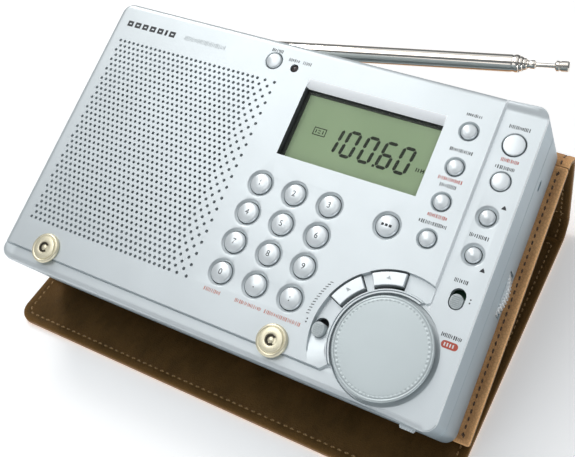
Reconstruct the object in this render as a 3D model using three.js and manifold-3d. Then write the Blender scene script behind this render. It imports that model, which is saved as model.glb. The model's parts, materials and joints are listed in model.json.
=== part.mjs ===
// A pocket world-band radio leaning back on its fold-over leather cover, in millimetres, +Z up.
// The radio is drawn in its own face frame: x to the right, y up the face, z out of the face,
// with the origin at the face's bottom left corner and z = 0 on the raised face plate.
import * as THREE from "three";
import { mergeVertices } from "three/addons/utils/BufferGeometryUtils.js";
import Module from "manifold-3d";

const wasm = await Module();
wasm.setup();

// ---------------------------------------------------------------- driving dimensions
const WIDTH = 140;
const HEIGHT = 88;
const DEPTH = 30.5;
const CORNER = 3.5; // outline corners, and the rounding of the back edges
const WALL = 2;
const PART_LINE = -13; // z of the joint between the two shells
const STEP = 1; // how far the raised face plate stands above the lower level
const PLATE_BACK = -3; // z of the face plate's inner side
const GAP = 0.3; // assembly gap between neighbouring pieces
const SHELL_GAP = 0.1;

const LEAN = THREE.MathUtils.degToRad(22.5); // the face above the table
const LEATHER = 2.2;
const COVER_MARGIN = 3.5; // how far the cover reaches past each side of the radio
const COVER_CORNER = 5;
const CREASE_CUT = 0.75; // how far each board stops short of its crease line
const FLAP_LENGTH = 95;

const KNOB_X = 121;
const KNOB_Y = 15;
const KNOB_RADIUS = 13.3;
const COLLAR_INNER = 13.8;
const COLLAR_OUTER = 15;
const CHANNEL_OUTER = 20.2;

const KEY_RADIUS = 3.1;
const KEY_COLUMNS = [70.8, 81.7, 92.6];
const KEY_ROWS = [45.2, 36.3, 27.4, 18.4];
const MODE_X = 121.2;
const SIDE_COLUMN_X = 133.6;
const COLUMN_ROWS = [76, 65.5, 55.4, 45];
const KEY_CLEARANCE = 0.25;
const KEY_FLANGE = 0.7;
const FLANGE_TOP = PLATE_BACK - GAP;
const FLANGE_THICKNESS = 0.9;

const DISPLAY = { left: 71.5, right: 114.1, bottom: 54.8, top: 76.2 };
const DISPLAY_RAMP = 2.6;
const SPEAKER = { x: 32.2, y: 44.5, radius: 26 };
const STUDS = [
  [15.2, 6.8],
  [92.6, 6.6],
];
const STUD_HEIGHT = 2.2;

const ANTENNA_X = 6.5;
const ANTENNA_Y = 85.2;
const ANTENNA_Z = -19.7;
const ANTENNA_RAISE = THREE.MathUtils.degToRad(10.8);
const MAST_RADIUS = 2.7;
const MAST_END = 117.6;
const GROOVE_HALF_WIDTH = 3.3;
const GROOVE_FLOOR = 82;
const GROOVE_END = 138.8; // the groove is open at the left end and closed at the right

const CELL_RADIUS = 7.25;
const CELL_LENGTH = 50.5;
const CELL_X = 58.2;
const CELL_Z = -21.2;
const CELL_ROWS = [15.2, 30.6, 46];

const DOOR = { left: 56.2, right: 110.8, bottom: 6.2, top: 55.2 };
const DOOR_THICKNESS = 1.5;
const DOOR_RECESS = 1.6;
const DOOR_TRAVEL = 5;

const WHEEL = { x: 127, y: 42, radius: 14, back: -26.4, front: -21.4 };
const JACKS = [
  { y: 62, radius: 1.8 },
  { y: 50, radius: 2.8 },
];
const JACK_Z = -20;
const LAMP = { x: 65.6, y: 80.6, radius: 1.1 };
const FINE = 32;
const COARSE = 16;

// ---------------------------------------------------------------- geometry helpers
function toSolid(geometry) {
  const plain = geometry.clone();
  plain.deleteAttribute("normal");
  plain.deleteAttribute("uv");
  const merged = mergeVertices(plain, 1e-3);
  const makeSolid = (triVerts) =>
    new wasm.Manifold(
      new wasm.Mesh({
        numProp: 3,
        vertProperties: merged.attributes.position.array,
        triVerts,
      }),
    );
  const triangles = new Uint32Array(merged.index.array);
  const solid = makeSolid(triangles);
  if (solid.volume() > 0) return solid;
  return makeSolid(triangles.reverse());
}

function toGeometry(solid) {
  const mesh = solid.getMesh();
  const geometry = new THREE.BufferGeometry();
  geometry.setAttribute("position", new THREE.BufferAttribute(mesh.vertProperties, 3));
  geometry.setIndex(new THREE.BufferAttribute(mesh.triVerts, 1));
  geometry.computeVertexNormals();
  return geometry;
}

const join = (first, ...others) => others.reduce((sum, next) => sum.add(next), first);
const cut = (first, ...tools) => tools.reduce((rest, tool) => rest.subtract(tool), first);

function boxSolid(x0, x1, y0, y1, z0, z1) {
  const geometry = new THREE.BoxGeometry(x1 - x0, y1 - y0, z1 - z0);
  geometry.translate((x0 + x1) / 2, (y0 + y1) / 2, (z0 + z1) / 2);
  return toSolid(geometry);
}

function discSolid(x, y, radius, z0, z1, segments = FINE) {
  const geometry = new THREE.CylinderGeometry(radius, radius, z1 - z0, segments);
  geometry.rotateX(Math.PI / 2);
  geometry.translate(x, y, (z0 + z1) / 2);
  return toSolid(geometry);
}

function rodAlongX(x0, x1, y, z, radius, segments = COARSE) {
  const geometry = new THREE.CylinderGeometry(radius, radius, x1 - x0, segments);
  geometry.rotateZ(Math.PI / 2);
  geometry.translate((x0 + x1) / 2, y, z);
  return toSolid(geometry);
}

// A closed profile of [radius, z] points that starts and ends on the axis, turned about z.
function turnedSolid(x, y, profile, segments = FINE) {
  const points = profile.map(([radius, z]) => new THREE.Vector2(radius, z));
  const geometry = new THREE.LatheGeometry(points, segments);
  geometry.rotateX(Math.PI / 2);
  geometry.translate(x, y, 0);
  return toSolid(geometry);
}

function roundedRect(x0, y0, x1, y1, radius) {
  const shape = new THREE.Shape();
  shape.moveTo(x0 + radius, y0);
  shape.absarc(x1 - radius, y0 + radius, radius, -Math.PI / 2, 0);
  shape.absarc(x1 - radius, y1 - radius, radius, 0, Math.PI / 2);
  shape.absarc(x0 + radius, y1 - radius, radius, Math.PI / 2, Math.PI);
  shape.absarc(x0 + radius, y0 + radius, radius, Math.PI, 1.5 * Math.PI);
  return shape;
}

function extrudedSolid(shape, z0, z1, curveSegments = 5) {
  const geometry = new THREE.ExtrudeGeometry(shape, {
    depth: z1 - z0,
    bevelEnabled: false,
    curveSegments,
  });
  geometry.translate(0, 0, z0);
  return toSolid(geometry);
}

// A closed [y, z] outline carried along x.
function prismAlongX(outline, x0, x1) {
  const shape = new THREE.Shape(outline.map(([y, z]) => new THREE.Vector2(y, z)));
  const geometry = new THREE.ExtrudeGeometry(shape, { depth: x1 - x0, bevelEnabled: false });
  const turn = new THREE.Matrix4().makeBasis(
    new THREE.Vector3(0, 1, 0),
    new THREE.Vector3(0, 0, 1),
    new THREE.Vector3(1, 0, 0),
  );
  geometry.applyMatrix4(turn);
  geometry.translate(x0, 0, 0);
  return toSolid(geometry);
}

// Part of a ring about the knob, between two radii and two angles in degrees.
function ringSector(inner, outer, fromDegrees, toDegrees, z0, z1) {
  const from = THREE.MathUtils.degToRad(fromDegrees);
  const to = THREE.MathUtils.degToRad(toDegrees);
  const shape = new THREE.Shape();
  shape.absarc(KNOB_X, KNOB_Y, outer, from, to, false);
  shape.absarc(KNOB_X, KNOB_Y, inner, to, from, true);
  return extrudedSolid(shape, z0, z1, 10);
}

// ---------------------------------------------------------------- materials
function material(color, roughness, metalness) {
  return new THREE.MeshStandardMaterial({ color, roughness, metalness });
}

const silver = material(0xc9d1d4, 0.42, 0.55);
const silverKey = material(0xdfe6e8, 0.35, 0.45);
const sliderGrey = material(0x8f989b, 0.5, 0.1);
const clearPlastic = material(0xb9c4a4, 0.1, 0);
const displayGreen = material(0x8f9e7c, 0.5, 0);
const darkPlastic = material(0x26292b, 0.6, 0);
const boardGreen = material(0x1f5b3a, 0.6, 0);
const rubber = material(0x3a3c3d, 0.9, 0);
const steel = material(0xb4b8ba, 0.35, 0.9);
const chrome = material(0xdde1e4, 0.12, 1);
const brass = material(0xcfc29a, 0.3, 0.85);
const ferrite = material(0x3b3836, 0.8, 0.1);
const cellBlue = material(0x30507a, 0.4, 0.3);
const leather = material(0x6b4322, 0.7, 0);
const paperCone = material(0x2a2826, 0.95, 0);

// ---------------------------------------------------------------- assembly groups
const part = new THREE.Group();
const radio = new THREE.Group();
radio.name = "radio";
part.add(radio);

function addPiece(parent, name, solid, look) {
  const mesh = new THREE.Mesh(toGeometry(solid), look);
  mesh.name = name;
  parent.add(mesh);
  return mesh;
}

// ---------------------------------------------------------------- buttons and keys
// Every round button: name, centre, radius, level of the surface round it, height above it.
const roundButtons = [];

function addKeypad() {
  const names = ["1", "2", "3", "4", "5", "6", "7", "8", "9", "0", "dot", "enter"];
  names.forEach((label, index) => {
    const x = KEY_COLUMNS[index % 3];
    const y = KEY_ROWS[Math.floor(index / 3)];
    roundButtons.push({ name: `key_${label}`, x, y, radius: KEY_RADIUS, level: 0, height: 0.6 });
  });
}

function addControlButtons() {
  const keySize = { radius: KEY_RADIUS, level: 0, height: 0.6 };
  roundButtons.push({ name: "program_key", x: 109.8, y: 45, ...keySize });
  ["mode_button", "page_button", "memory_button", "select_button"].forEach((name, row) => {
    roundButtons.push({ name, x: MODE_X, y: COLUMN_ROWS[row], radius: 2.3, level: 0, height: 0.7 });
  });
  const side = [
    ["power_button", 2.95],
    ["display_button", 2.6],
    ["alarm_1_button", 2.2],
    ["alarm_2_button", 2.2],
  ];
  side.forEach(([name, radius], row) => {
    const x = SIDE_COLUMN_X;
    roundButtons.push({ name, x, y: COLUMN_ROWS[row], radius, level: -STEP, height: 0.6 });
  });
  roundButtons.push({ name: "light_button", x: 58.4, y: 81.3, radius: 2.5, level: 0, height: 0.6 });
}

function buttonSolid({ x, y, radius, level, height }) {
  const top = level + height;
  const bottom = FLANGE_TOP - FLANGE_THICKNESS;
  return turnedSolid(
    x,
    y,
    [
      [0, bottom],
      [radius + KEY_FLANGE, bottom],
      [radius + KEY_FLANGE, FLANGE_TOP],
      [radius, FLANGE_TOP],
      [radius, top - 0.3],
      [0, top],
    ],
    COARSE,
  );
}

// ---------------------------------------------------------------- slide switches on the face
const faceSliders = [
  { name: "key_lock_slider", x: 133.8, y: 33, level: -STEP },
  { name: "tuning_lock_slider", x: 103.1, y: 14.3, level: 0 },
];
const SLIDER_WIDTH = 3.4;
const SLIDER_LENGTH = 3.9;
const SLOT_LENGTH = 5.7;

function capsule(x, y, width, length) {
  return roundedRect(x - width / 2, y - length / 2, x + width / 2, y + length / 2, width / 2 - 0.01);
}

function sliderSolid({ x, y, level }) {
  const low = y - (SLOT_LENGTH - SLIDER_LENGTH) / 2 + 0.25;
  const outline = capsule(x, low, SLIDER_WIDTH, SLIDER_LENGTH);
  const cap = extrudedSolid(outline, FLANGE_TOP - 0.01, level + 0.35);
  const reach = 2.6;
  const foot = boxSolid(
    x - reach,
    x + reach,
    low - reach,
    low + reach,
    FLANGE_TOP - 0.8,
    FLANGE_TOP,
  );
  return join(cap, foot);
}

// ---------------------------------------------------------------- shells
function frontCover() {
  const outline = roundedRect(0, 0, WIDTH, HEIGHT, CORNER);
  const inside = roundedRect(WALL, WALL, WIDTH - WALL, HEIGHT - WALL, CORNER - WALL);
  const block = extrudedSolid(outline, PART_LINE + SHELL_GAP, -STEP);
  const raised = cut(
    extrudedSolid(outline, -STEP - 0.01, 0).intersect(boxSolid(-1, 127.7, 4.75, HEIGHT + 1, -2, 1)),
    discSolid(KNOB_X, KNOB_Y, CHANNEL_OUTER, -2, 1, 48),
    boxSolid(108.5, 128, 4, 12, -2, 1),
  );
  const collar = ringSector(COLLAR_INNER, COLLAR_OUTER, 66, 216, -STEP - 0.01, 0);
  const hollow = extrudedSolid(inside, PART_LINE - 1, PLATE_BACK);
  const { left, right, bottom, top } = DISPLAY;
  const window = boxSolid(left, right, bottom, top, PLATE_BACK - 1, 1);
  const ramp = prismAlongX(
    [
      [top - 0.01, 0.5],
      [top - 0.01, -2],
      [top + DISPLAY_RAMP, 0],
      [top + DISPLAY_RAMP, 0.5],
    ],
    left,
    right,
  );
  const keyHoles = roundButtons.map(({ x, y, radius }) =>
    discSolid(x, y, radius + KEY_CLEARANCE, PLATE_BACK - 1, 1, COARSE),
  );
  const sliderHoles = faceSliders.map(({ x, y }) =>
    extrudedSolid(capsule(x, y, SLIDER_WIDTH + 0.5, SLOT_LENGTH), PLATE_BACK - 1, 1),
  );
  const arcHoles = TUNING_BUTTONS.map(({ from, to }) =>
    ringSector(ARC_INNER - 0.25, ARC_OUTER + 0.25, from - 0.8, to + 0.8, PLATE_BACK - 1, 0.5),
  );
  const studHoles = STUDS.map(([x, y]) => discSolid(x, y, 1.7, PLATE_BACK - 1, 1, COARSE));
  const shaftHole = discSolid(KNOB_X, KNOB_Y, 3.3, PLATE_BACK - 1, 1, COARSE);
  const lampHole = discSolid(LAMP.x, LAMP.y, LAMP.radius + 0.25, PLATE_BACK - 1, 1, COARSE);
  const switchSlot = boxSolid(
    SWITCH.left - GAP,
    SWITCH.right + SWITCH.travel + GAP,
    -1,
    WALL + 1,
    SWITCH.back - GAP,
    SWITCH.front + GAP,
  );
  const body = cut(join(block, raised, collar), hollow, window, ramp, ...keyHoles, ...sliderHoles);
  return cut(body, ...arcHoles, ...studHoles, shaftHole, lampHole, switchSlot);
}

function rearCover() {
  const outline = roundedRect(CORNER, CORNER, WIDTH - CORNER, HEIGHT - CORNER, 0.1);
  const rounded = new THREE.ExtrudeGeometry(outline, {
    depth: DEPTH,
    bevelThickness: CORNER,
    bevelSize: CORNER,
    bevelSegments: 4,
    curveSegments: 4,
  });
  rounded.translate(0, 0, -DEPTH + CORNER);
  const behindJoint = boxSolid(-1, WIDTH + 1, -1, HEIGHT + 1, -DEPTH - 1, PART_LINE);
  const block = toSolid(rounded).intersect(behindJoint);
  const inside = roundedRect(WALL, WALL, WIDTH - WALL, HEIGHT - WALL, CORNER - WALL);
  const hollow = extrudedSolid(inside, -DEPTH + WALL, PART_LINE + 1);
  const { left, right, bottom, top } = DOOR;
  const ledge = boxSolid(
    left - 4,
    right + DOOR_TRAVEL + 3,
    WALL - 0.5,
    top + 3,
    -DEPTH + 0.5,
    -DEPTH + 3.2,
  );
  const grooveWall = boxSolid(
    0.5,
    WIDTH - 0.5,
    GROOVE_FLOOR - 1.7,
    HEIGHT - 0.5,
    ANTENNA_Z - GROOVE_HALF_WIDTH - 1.7,
    ANTENNA_Z + GROOVE_HALF_WIDTH + 1.7,
  );
  const groove = boxSolid(
    -1,
    GROOVE_END,
    GROOVE_FLOOR,
    HEIGHT + 1,
    ANTENNA_Z - GROOVE_HALF_WIDTH,
    ANTENNA_Z + GROOVE_HALF_WIDTH,
  );
  const pinHole = discSolid(
    ANTENNA_X,
    ANTENNA_Y,
    PIN_RADIUS + 0.2,
    PIN_BACK - GAP,
    PIN_FRONT + 1,
    COARSE,
  );
  const doorRecess = boxSolid(
    left - 0.2,
    right + DOOR_TRAVEL + 0.2,
    bottom - 0.2,
    top + 0.2,
    -DEPTH - 1,
    -DEPTH + DOOR_RECESS,
  );
  const cellOpening = boxSolid(
    CELL_X - 0.7,
    CELL_X + CELL_LENGTH + 0.7,
    7.6,
    53.8,
    -DEPTH,
    -DEPTH + 6,
  );
  const wheelSlot = discSolid(
    WHEEL.x,
    WHEEL.y,
    WHEEL.radius + 0.5,
    WHEEL.back - 0.4,
    WHEEL.front + 0.4,
    40,
  );
  const screwHoles = COVER_SCREWS.map(([x, y]) =>
    discSolid(x, y, 1.7, -DEPTH - 1, -DEPTH + 8, COARSE),
  );
  const jackRecesses = JACKS.map(({ y, radius }) => rodAlongX(-1, 1.6, y, JACK_Z, radius));
  const shell = join(cut(block, hollow), ledge.intersect(block), grooveWall.intersect(block));
  return cut(shell, groove, pinHole, doorRecess, cellOpening, wheelSlot, ...screwHoles, ...jackRecesses);
}

function batteryDoor() {
  const { left, right, bottom, top } = DOOR;
  const plate = boxSolid(left, right, bottom, top, -DEPTH, -DEPTH + DOOR_THICKNESS);
  const grip = [0, 1, 2, 3].map((i) =>
    boxSolid(left + 4 + i * 2.4, left + 5.2 + i * 2.4, 24, 38, -DEPTH - 1, -DEPTH + 0.5),
  );
  return cut(plate, ...grip);
}

// ---------------------------------------------------------------- tuning controls
const ARC_INNER = 15.95;
const ARC_OUTER = 19.9;
const TUNING_BUTTONS = [
  { name: "tuning_up_button", from: 93.5, to: 121 },
  { name: "tuning_down_button", from: 129.5, to: 157 },
];

function arcButtonSolid({ from, to }) {
  const cap = ringSector(ARC_INNER, ARC_OUTER, from, to, FLANGE_TOP - 0.01, -0.1);
  const foot = ringSector(
    ARC_INNER - 0.6,
    ARC_OUTER + 0.6,
    from - 1,
    to + 1,
    FLANGE_TOP - 0.7,
    FLANGE_TOP,
  );
  return join(cap, foot);
}

function tuningKnob() {
  const base = -STEP + GAP;
  const top = 2;
  return turnedSolid(KNOB_X, KNOB_Y, [
    [0, -5.6],
    [3, -5.6],
    [3, base],
    [KNOB_RADIUS, base],
    [KNOB_RADIUS, top - 0.6],
    [KNOB_RADIUS - 0.6, top],
    [0, top],
  ], 40);
}

function volumeWheel() {
  const rim = discSolid(WHEEL.x, WHEEL.y, WHEEL.radius, WHEEL.back, WHEEL.front, 40);
  const hub = discSolid(WHEEL.x, WHEEL.y, 3, WHEEL.front - 0.01, WHEEL.front + 5, COARSE);
  return join(rim, hub);
}

// The small two-position switch on the bottom side.
const SWITCH = { left: 130.4, right: 134, back: -8, front: -5, travel: 2 };

function rangeSwitch() {
  const { left, right, back, front } = SWITCH;
  const knob = boxSolid(left, right, -1, WALL + 0.3, back, front);
  const foot = boxSolid(left - 1, right + 1, WALL + GAP, WALL + 1.3, back - 0.8, front + 0.8);
  return join(knob, foot);
}

// ---------------------------------------------------------------- display and inner parts
function displayWindow() {
  const { left, right, bottom, top } = DISPLAY;
  const edge = 0.2;
  return boxSolid(left + edge, right - edge, bottom + edge, top - edge, -2.7, -2.1);
}

function displayPanel() {
  const { left, right, bottom, top } = DISPLAY;
  return boxSolid(left - 1.5, right + 1.5, bottom - 1.5, top + 2.5, -4.8, PLATE_BACK - GAP);
}

function mainBoard() {
  const fixingHoles = [66, 127].map((x) => discSolid(x, 80, 1.6, -9, -5, COARSE));
  return cut(boxSolid(62, 137, 5, 84, -7.6, -6), ...fixingHoles);
}

function keypadMat() {
  return boxSolid(64, 115.5, 12.5, 51, -5.7, -5.1);
}

function speakerFrame() {
  const { x, y, radius } = SPEAKER;
  return turnedSolid(x, y, [
    [0, -22],
    [14, -22],
    [14, -14],
    [15.5, -12.6],
    [radius, -6],
    [radius, FLANGE_TOP],
    [radius - 1.5, FLANGE_TOP],
    [radius - 1.5, -5.6],
    [14, -12.2],
    [0, -12.2],
  ]);
}

function speakerCone() {
  const { x, y } = SPEAKER;
  return turnedSolid(x, y, [
    [0, -10.9],
    [4.5, -10.9],
    [23.5, -5.2],
    [23.9, -4],
    [23.3, -4],
    [22.9, -4.7],
    [4.5, -10],
    [0, -9.2],
  ]);
}

function batteryCell(y) {
  const can = rodAlongX(CELL_X, CELL_X + CELL_LENGTH - 1.5, y, CELL_Z, CELL_RADIUS, 20);
  const tip = rodAlongX(CELL_X + CELL_LENGTH - 1.6, CELL_X + CELL_LENGTH, y, CELL_Z, 2.7);
  return join(can, tip);
}

// A press stud's male half: a flanged ring with a raised post, on a shank through the face.
function snapStud([x, y]) {
  const ring = turnedSolid(x, y, [
    [0, -4],
    [1.4, -4],
    [1.4, 0.1],
    [4.25, 0.1],
    [4.25, 0.9],
    [3.5, 1.5],
    [2.9, 1.1],
    [2.7, STUD_HEIGHT - 0.3],
    [2.3, STUD_HEIGHT],
    [0, STUD_HEIGHT],
  ], 24);
  return cut(ring, discSolid(x, y, 1, 0.8, STUD_HEIGHT + 1, COARSE));
}

// ---------------------------------------------------------------- telescopic antenna
const PIN_RADIUS = 1.2;
const PIN_BACK = ANTENNA_Z - GROOVE_HALF_WIDTH - 1.3;
const PIN_FRONT = ANTENNA_Z + GROOVE_HALF_WIDTH + 1.4;

// Sections inside the mast: radius, bore and where each starts and ends along the antenna.
const SECTIONS = [
  { name: "antenna_section_2", radius: 2.25, bore: 1.95, start: 8, end: 118.7 },
  { name: "antenna_section_3", radius: 1.8, bore: 1.45, start: 11, end: 119.8 },
  { name: "antenna_section_4", radius: 1.3, bore: 0.85, start: 14, end: 122.3 },
];

function antennaMast() {
  const eye = discSolid(0, 0, MAST_RADIUS, -2, 2, 20);
  const tube = rodAlongX(0.5, MAST_END, 0, 0, MAST_RADIUS);
  const bore = rodAlongX(6.5, MAST_END + 1, 0, 0, 2.42);
  return cut(join(eye, tube), bore, discSolid(0, 0, PIN_RADIUS + 0.2, -4, 4, COARSE));
}

function antennaSection({ radius, bore, start, end }) {
  return cut(rodAlongX(start, end, 0, 0, radius), rodAlongX(start + 2, end + 1, 0, 0, bore));
}

function antennaTip() {
  const rod = rodAlongX(22, 128.5, 0, 0, 0.65, 12);
  const cap = rodAlongX(128, 132, 0, 0, 1.6);
  return join(rod, cap);
}

// ---------------------------------------------------------------- leather cover
// The cover is a chain of flat boards about crease lines that all run along x. A direction in
// the radio's y-z plane is an angle from +z towards +y. Closed, the chain runs up the back,
// over the top and down the face. Standing, it is folded the other way into a prop.
const COVER_BACK = -DEPTH - GAP; // z of the back board's inner side
const BOARD_MIDDLE = COVER_BACK - LEATHER / 2;
const BACK_BOTTOM = -0.5;
const TOP_CLEARANCE = 0.8;
const CREASE_Y = HEIGHT + TOP_CLEARANCE + LEATHER / 2; // middle of the closed spine board
const CREASE_REACH = 3.3; // how far each crease strip cuts the closed corner
const STRIP = CREASE_REACH * Math.SQRT2;
const REAR_CREASE = { y: CREASE_Y - CREASE_REACH, z: BOARD_MIDDLE };
const REST_GAP = 0.05;
const COVER_SCREWS = [
  [22, 70],
  [118, 70],
];

const heightOf = ({ y, z }) => y * Math.sin(LEAN) + z * Math.cos(LEAN);
const backOf = ({ y, z }) => y * Math.cos(LEAN) - z * Math.sin(LEAN);

// The spine stands upright, so its length is what brings the flap down to the table.
const STRIP_DROP = -STRIP * Math.cos(THREE.MathUtils.degToRad(135) - LEAN / 2);
const FOOT = { y: BACK_BOTTOM, z: COVER_BACK - LEATHER };
const SPINE =
  heightOf(REAR_CREASE) - heightOf(FOOT) - STRIP_DROP - CREASE_REACH + LEATHER / 2 + REST_GAP;

const REAR_FOLD = (Math.PI / 2 + LEAN) / 2; // at each of the two creases behind the top
const FRONT_FOLD = Math.PI / 4; // at each of the two creases at the spine's foot

// A crease: a group at the end of the board before it, turned back by its fold.
function addCrease(parent, name, along, fold) {
  const crease = new THREE.Group();
  crease.name = name;
  crease.position.y = along;
  crease.rotation.x = -fold;
  parent.add(crease);
  return crease;
}

// A board from its crease line to the next one, in the plane of its group.
function board(length, endCut = CREASE_CUT) {
  return boxSolid(
    -COVER_MARGIN,
    WIDTH + COVER_MARGIN,
    CREASE_CUT,
    length - endCut,
    -LEATHER / 2,
    LEATHER / 2,
  );
}

function backBoard() {
  const outline = roundedRect(
    -COVER_MARGIN,
    BACK_BOTTOM,
    WIDTH + COVER_MARGIN,
    REAR_CREASE.y - CREASE_CUT,
    0.6,
  );
  const hatch = roundedRect(DOOR.left - 3, 4.2, DOOR.right + DOOR_TRAVEL + 3, DOOR.top + 3, 2);
  const back = COVER_BACK - LEATHER;
  const panel = extrudedSolid(outline, back, COVER_BACK, 2);
  const screwHoles = COVER_SCREWS.map(([x, y]) =>
    discSolid(x, y, 1.8, back - 1, COVER_BACK + 1, COARSE),
  );
  return cut(panel, extrudedSolid(hatch, back - 1, COVER_BACK + 1, 3), ...screwHoles);
}

function flapBoard() {
  const left = -COVER_MARGIN;
  const right = WIDTH + COVER_MARGIN;
  const shape = new THREE.Shape();
  shape.moveTo(left, CREASE_CUT);
  shape.lineTo(right, CREASE_CUT);
  shape.absarc(right - COVER_CORNER, FLAP_LENGTH - COVER_CORNER, COVER_CORNER, 0, Math.PI / 2);
  shape.absarc(left + COVER_CORNER, FLAP_LENGTH - COVER_CORNER, COVER_CORNER, Math.PI / 2, Math.PI);
  const panel = extrudedSolid(shape, -LEATHER / 2, LEATHER / 2, 6);
  const pockets = STUDS.map(([x, y]) =>
    discSolid(x, REAR_CREASE.y - y, SOCKET_RADIUS + 0.3, LEATHER / 2 - 1.5, LEATHER, 20),
  );
  return cut(panel, ...pockets);
}

const SOCKET_RADIUS = 5.6;

function snapSocket([x, y]) {
  const top = LEATHER / 2 - 0.05;
  const along = REAR_CREASE.y - y;
  return cut(
    discSolid(x, along, SOCKET_RADIUS, top - 1.1, top, 20),
    discSolid(x, along, 3.2, top - 0.8, top + 1, COARSE),
  );
}

function coverScrew([x, y]) {
  const back = COVER_BACK - LEATHER;
  return turnedSolid(x, y, [
    [0, back - 1.1],
    [2.6, back - 1.1],
    [3.4, back - 0.6],
    [3.4, back - 0.1],
    [1.4, back - 0.1],
    [1.4, -DEPTH + 6],
    [0, -DEPTH + 6],
  ], COARSE);
}

// ---------------------------------------------------------------- building it all
function buildRadio() {
  addKeypad();
  addControlButtons();
  addPiece(radio, "front_cover", frontCover(), silver);
  addPiece(radio, "rear_cover", rearCover(), silver);
  addPiece(radio, "battery_door", batteryDoor(), silver);
  addPiece(radio, "display_window", displayWindow(), clearPlastic);
  addPiece(radio, "display_panel", displayPanel(), displayGreen);
  addPiece(radio, "speaker_frame", speakerFrame(), steel);
  addPiece(radio, "speaker_cone", speakerCone(), paperCone);
  addPiece(radio, "main_circuit_board", mainBoard(), boardGreen);
  addPiece(radio, "keypad_mat", keypadMat(), rubber);
  addPiece(radio, "ferrite_rod", rodAlongX(50, 124, 73, -20, 4), ferrite);
  CELL_ROWS.forEach((y, i) =>
    addPiece(radio, `battery_cell_${i + 1}`, batteryCell(y), cellBlue),
  );
  roundButtons.forEach((button) => addPiece(radio, button.name, buttonSolid(button), silverKey));
  TUNING_BUTTONS.forEach((button) =>
    addPiece(radio, button.name, arcButtonSolid(button), silverKey),
  );
  faceSliders.forEach((slider) => addPiece(radio, slider.name, sliderSolid(slider), sliderGrey));
  addPiece(radio, "tuning_knob", tuningKnob(), silverKey);
  addPiece(radio, "volume_wheel", volumeWheel(), sliderGrey);
  addPiece(radio, "range_switch", rangeSwitch(), sliderGrey);
  const lamp = discSolid(LAMP.x, LAMP.y, LAMP.radius, -5, -0.4, COARSE);
  addPiece(radio, "signal_lamp", lamp, darkPlastic);
  STUDS.forEach((place, i) => addPiece(radio, `snap_stud_${i + 1}`, snapStud(place), brass));
  COVER_SCREWS.forEach((place, i) =>
    addPiece(radio, `cover_screw_${i + 1}`, coverScrew(place), brass),
  );
}

function buildAntenna() {
  const pin = discSolid(ANTENNA_X, ANTENNA_Y, PIN_RADIUS, PIN_BACK, PIN_FRONT, COARSE);
  addPiece(radio, "antenna_pin", pin, chrome);
  const antenna = new THREE.Group();
  antenna.name = "antenna_pivot";
  antenna.position.set(ANTENNA_X, ANTENNA_Y, ANTENNA_Z);
  antenna.rotation.z = ANTENNA_RAISE;
  radio.add(antenna);
  addPiece(antenna, "antenna_mast", antennaMast(), chrome);
  SECTIONS.forEach((section) => addPiece(antenna, section.name, antennaSection(section), chrome));
  addPiece(antenna, "antenna_tip", antennaTip(), chrome);
}

function buildCover() {
  addPiece(radio, "cover_back_board", backBoard(), leather);
  const base = new THREE.Group();
  base.position.z = BOARD_MIDDLE;
  radio.add(base);
  const rearStrip = addCrease(base, "crease_back_to_strip", REAR_CREASE.y, REAR_FOLD);
  addPiece(rearStrip, "cover_rear_crease", board(STRIP), leather);
  const spine = addCrease(rearStrip, "crease_strip_to_spine", STRIP, REAR_FOLD);
  addPiece(spine, "cover_spine_board", board(SPINE), leather);
  const frontStrip = addCrease(spine, "crease_spine_to_strip", SPINE, FRONT_FOLD);
  addPiece(frontStrip, "cover_front_crease", board(STRIP), leather);
  const flap = addCrease(frontStrip, "crease_strip_to_flap", STRIP, FRONT_FOLD);
  addPiece(flap, "cover_flap", flapBoard(), leather);
  STUDS.forEach((place, i) => addPiece(flap, `snap_socket_${i + 1}`, snapSocket(place), brass));
  return flap;
}

// Leans the radio back and sets the flap's underside on z = 0 with its centre on the origin.
function standUp(flap) {
  radio.rotation.x = LEAN;
  part.updateMatrixWorld(true);
  const centre = new THREE.Vector3(WIDTH / 2, FLAP_LENGTH / 2, LEATHER / 2);
  flap.localToWorld(centre);
  radio.position.sub(centre);
}

buildRadio();
buildAntenna();
standUp(buildCover());

export default part;
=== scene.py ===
"""A pocket world-band radio leaning back on its fold-over leather cover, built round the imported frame.

The radio's own shapes are drawn in its face frame, in millimetres: x to the right, y up the face and
z out of it, with z = 0 on the raised face plate and the origin at the face's bottom left corner.
"""

import json
import math
import random
from collections import namedtuple

import bpy
import numpy as np
from mathutils import Matrix, Vector
from mathutils.geometry import delaunay_2d_cdt


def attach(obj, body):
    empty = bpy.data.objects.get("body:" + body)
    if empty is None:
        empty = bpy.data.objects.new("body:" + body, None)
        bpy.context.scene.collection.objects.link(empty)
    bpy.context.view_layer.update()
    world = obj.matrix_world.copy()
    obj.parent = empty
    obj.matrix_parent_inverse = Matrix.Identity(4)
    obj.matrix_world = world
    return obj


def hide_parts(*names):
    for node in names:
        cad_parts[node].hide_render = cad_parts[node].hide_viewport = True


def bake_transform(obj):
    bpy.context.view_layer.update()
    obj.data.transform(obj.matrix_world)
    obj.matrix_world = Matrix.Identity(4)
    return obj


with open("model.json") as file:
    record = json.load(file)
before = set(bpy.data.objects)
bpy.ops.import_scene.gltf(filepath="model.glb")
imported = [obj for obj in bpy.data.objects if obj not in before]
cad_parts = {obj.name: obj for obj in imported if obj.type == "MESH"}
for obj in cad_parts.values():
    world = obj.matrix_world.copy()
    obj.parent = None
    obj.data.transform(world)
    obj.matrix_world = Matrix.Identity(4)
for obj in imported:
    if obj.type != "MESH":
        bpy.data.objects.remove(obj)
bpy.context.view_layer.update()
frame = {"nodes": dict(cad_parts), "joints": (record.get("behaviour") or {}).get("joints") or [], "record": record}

MM = 0.001
TURN = 2 * math.pi
random.seed(7)

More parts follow.
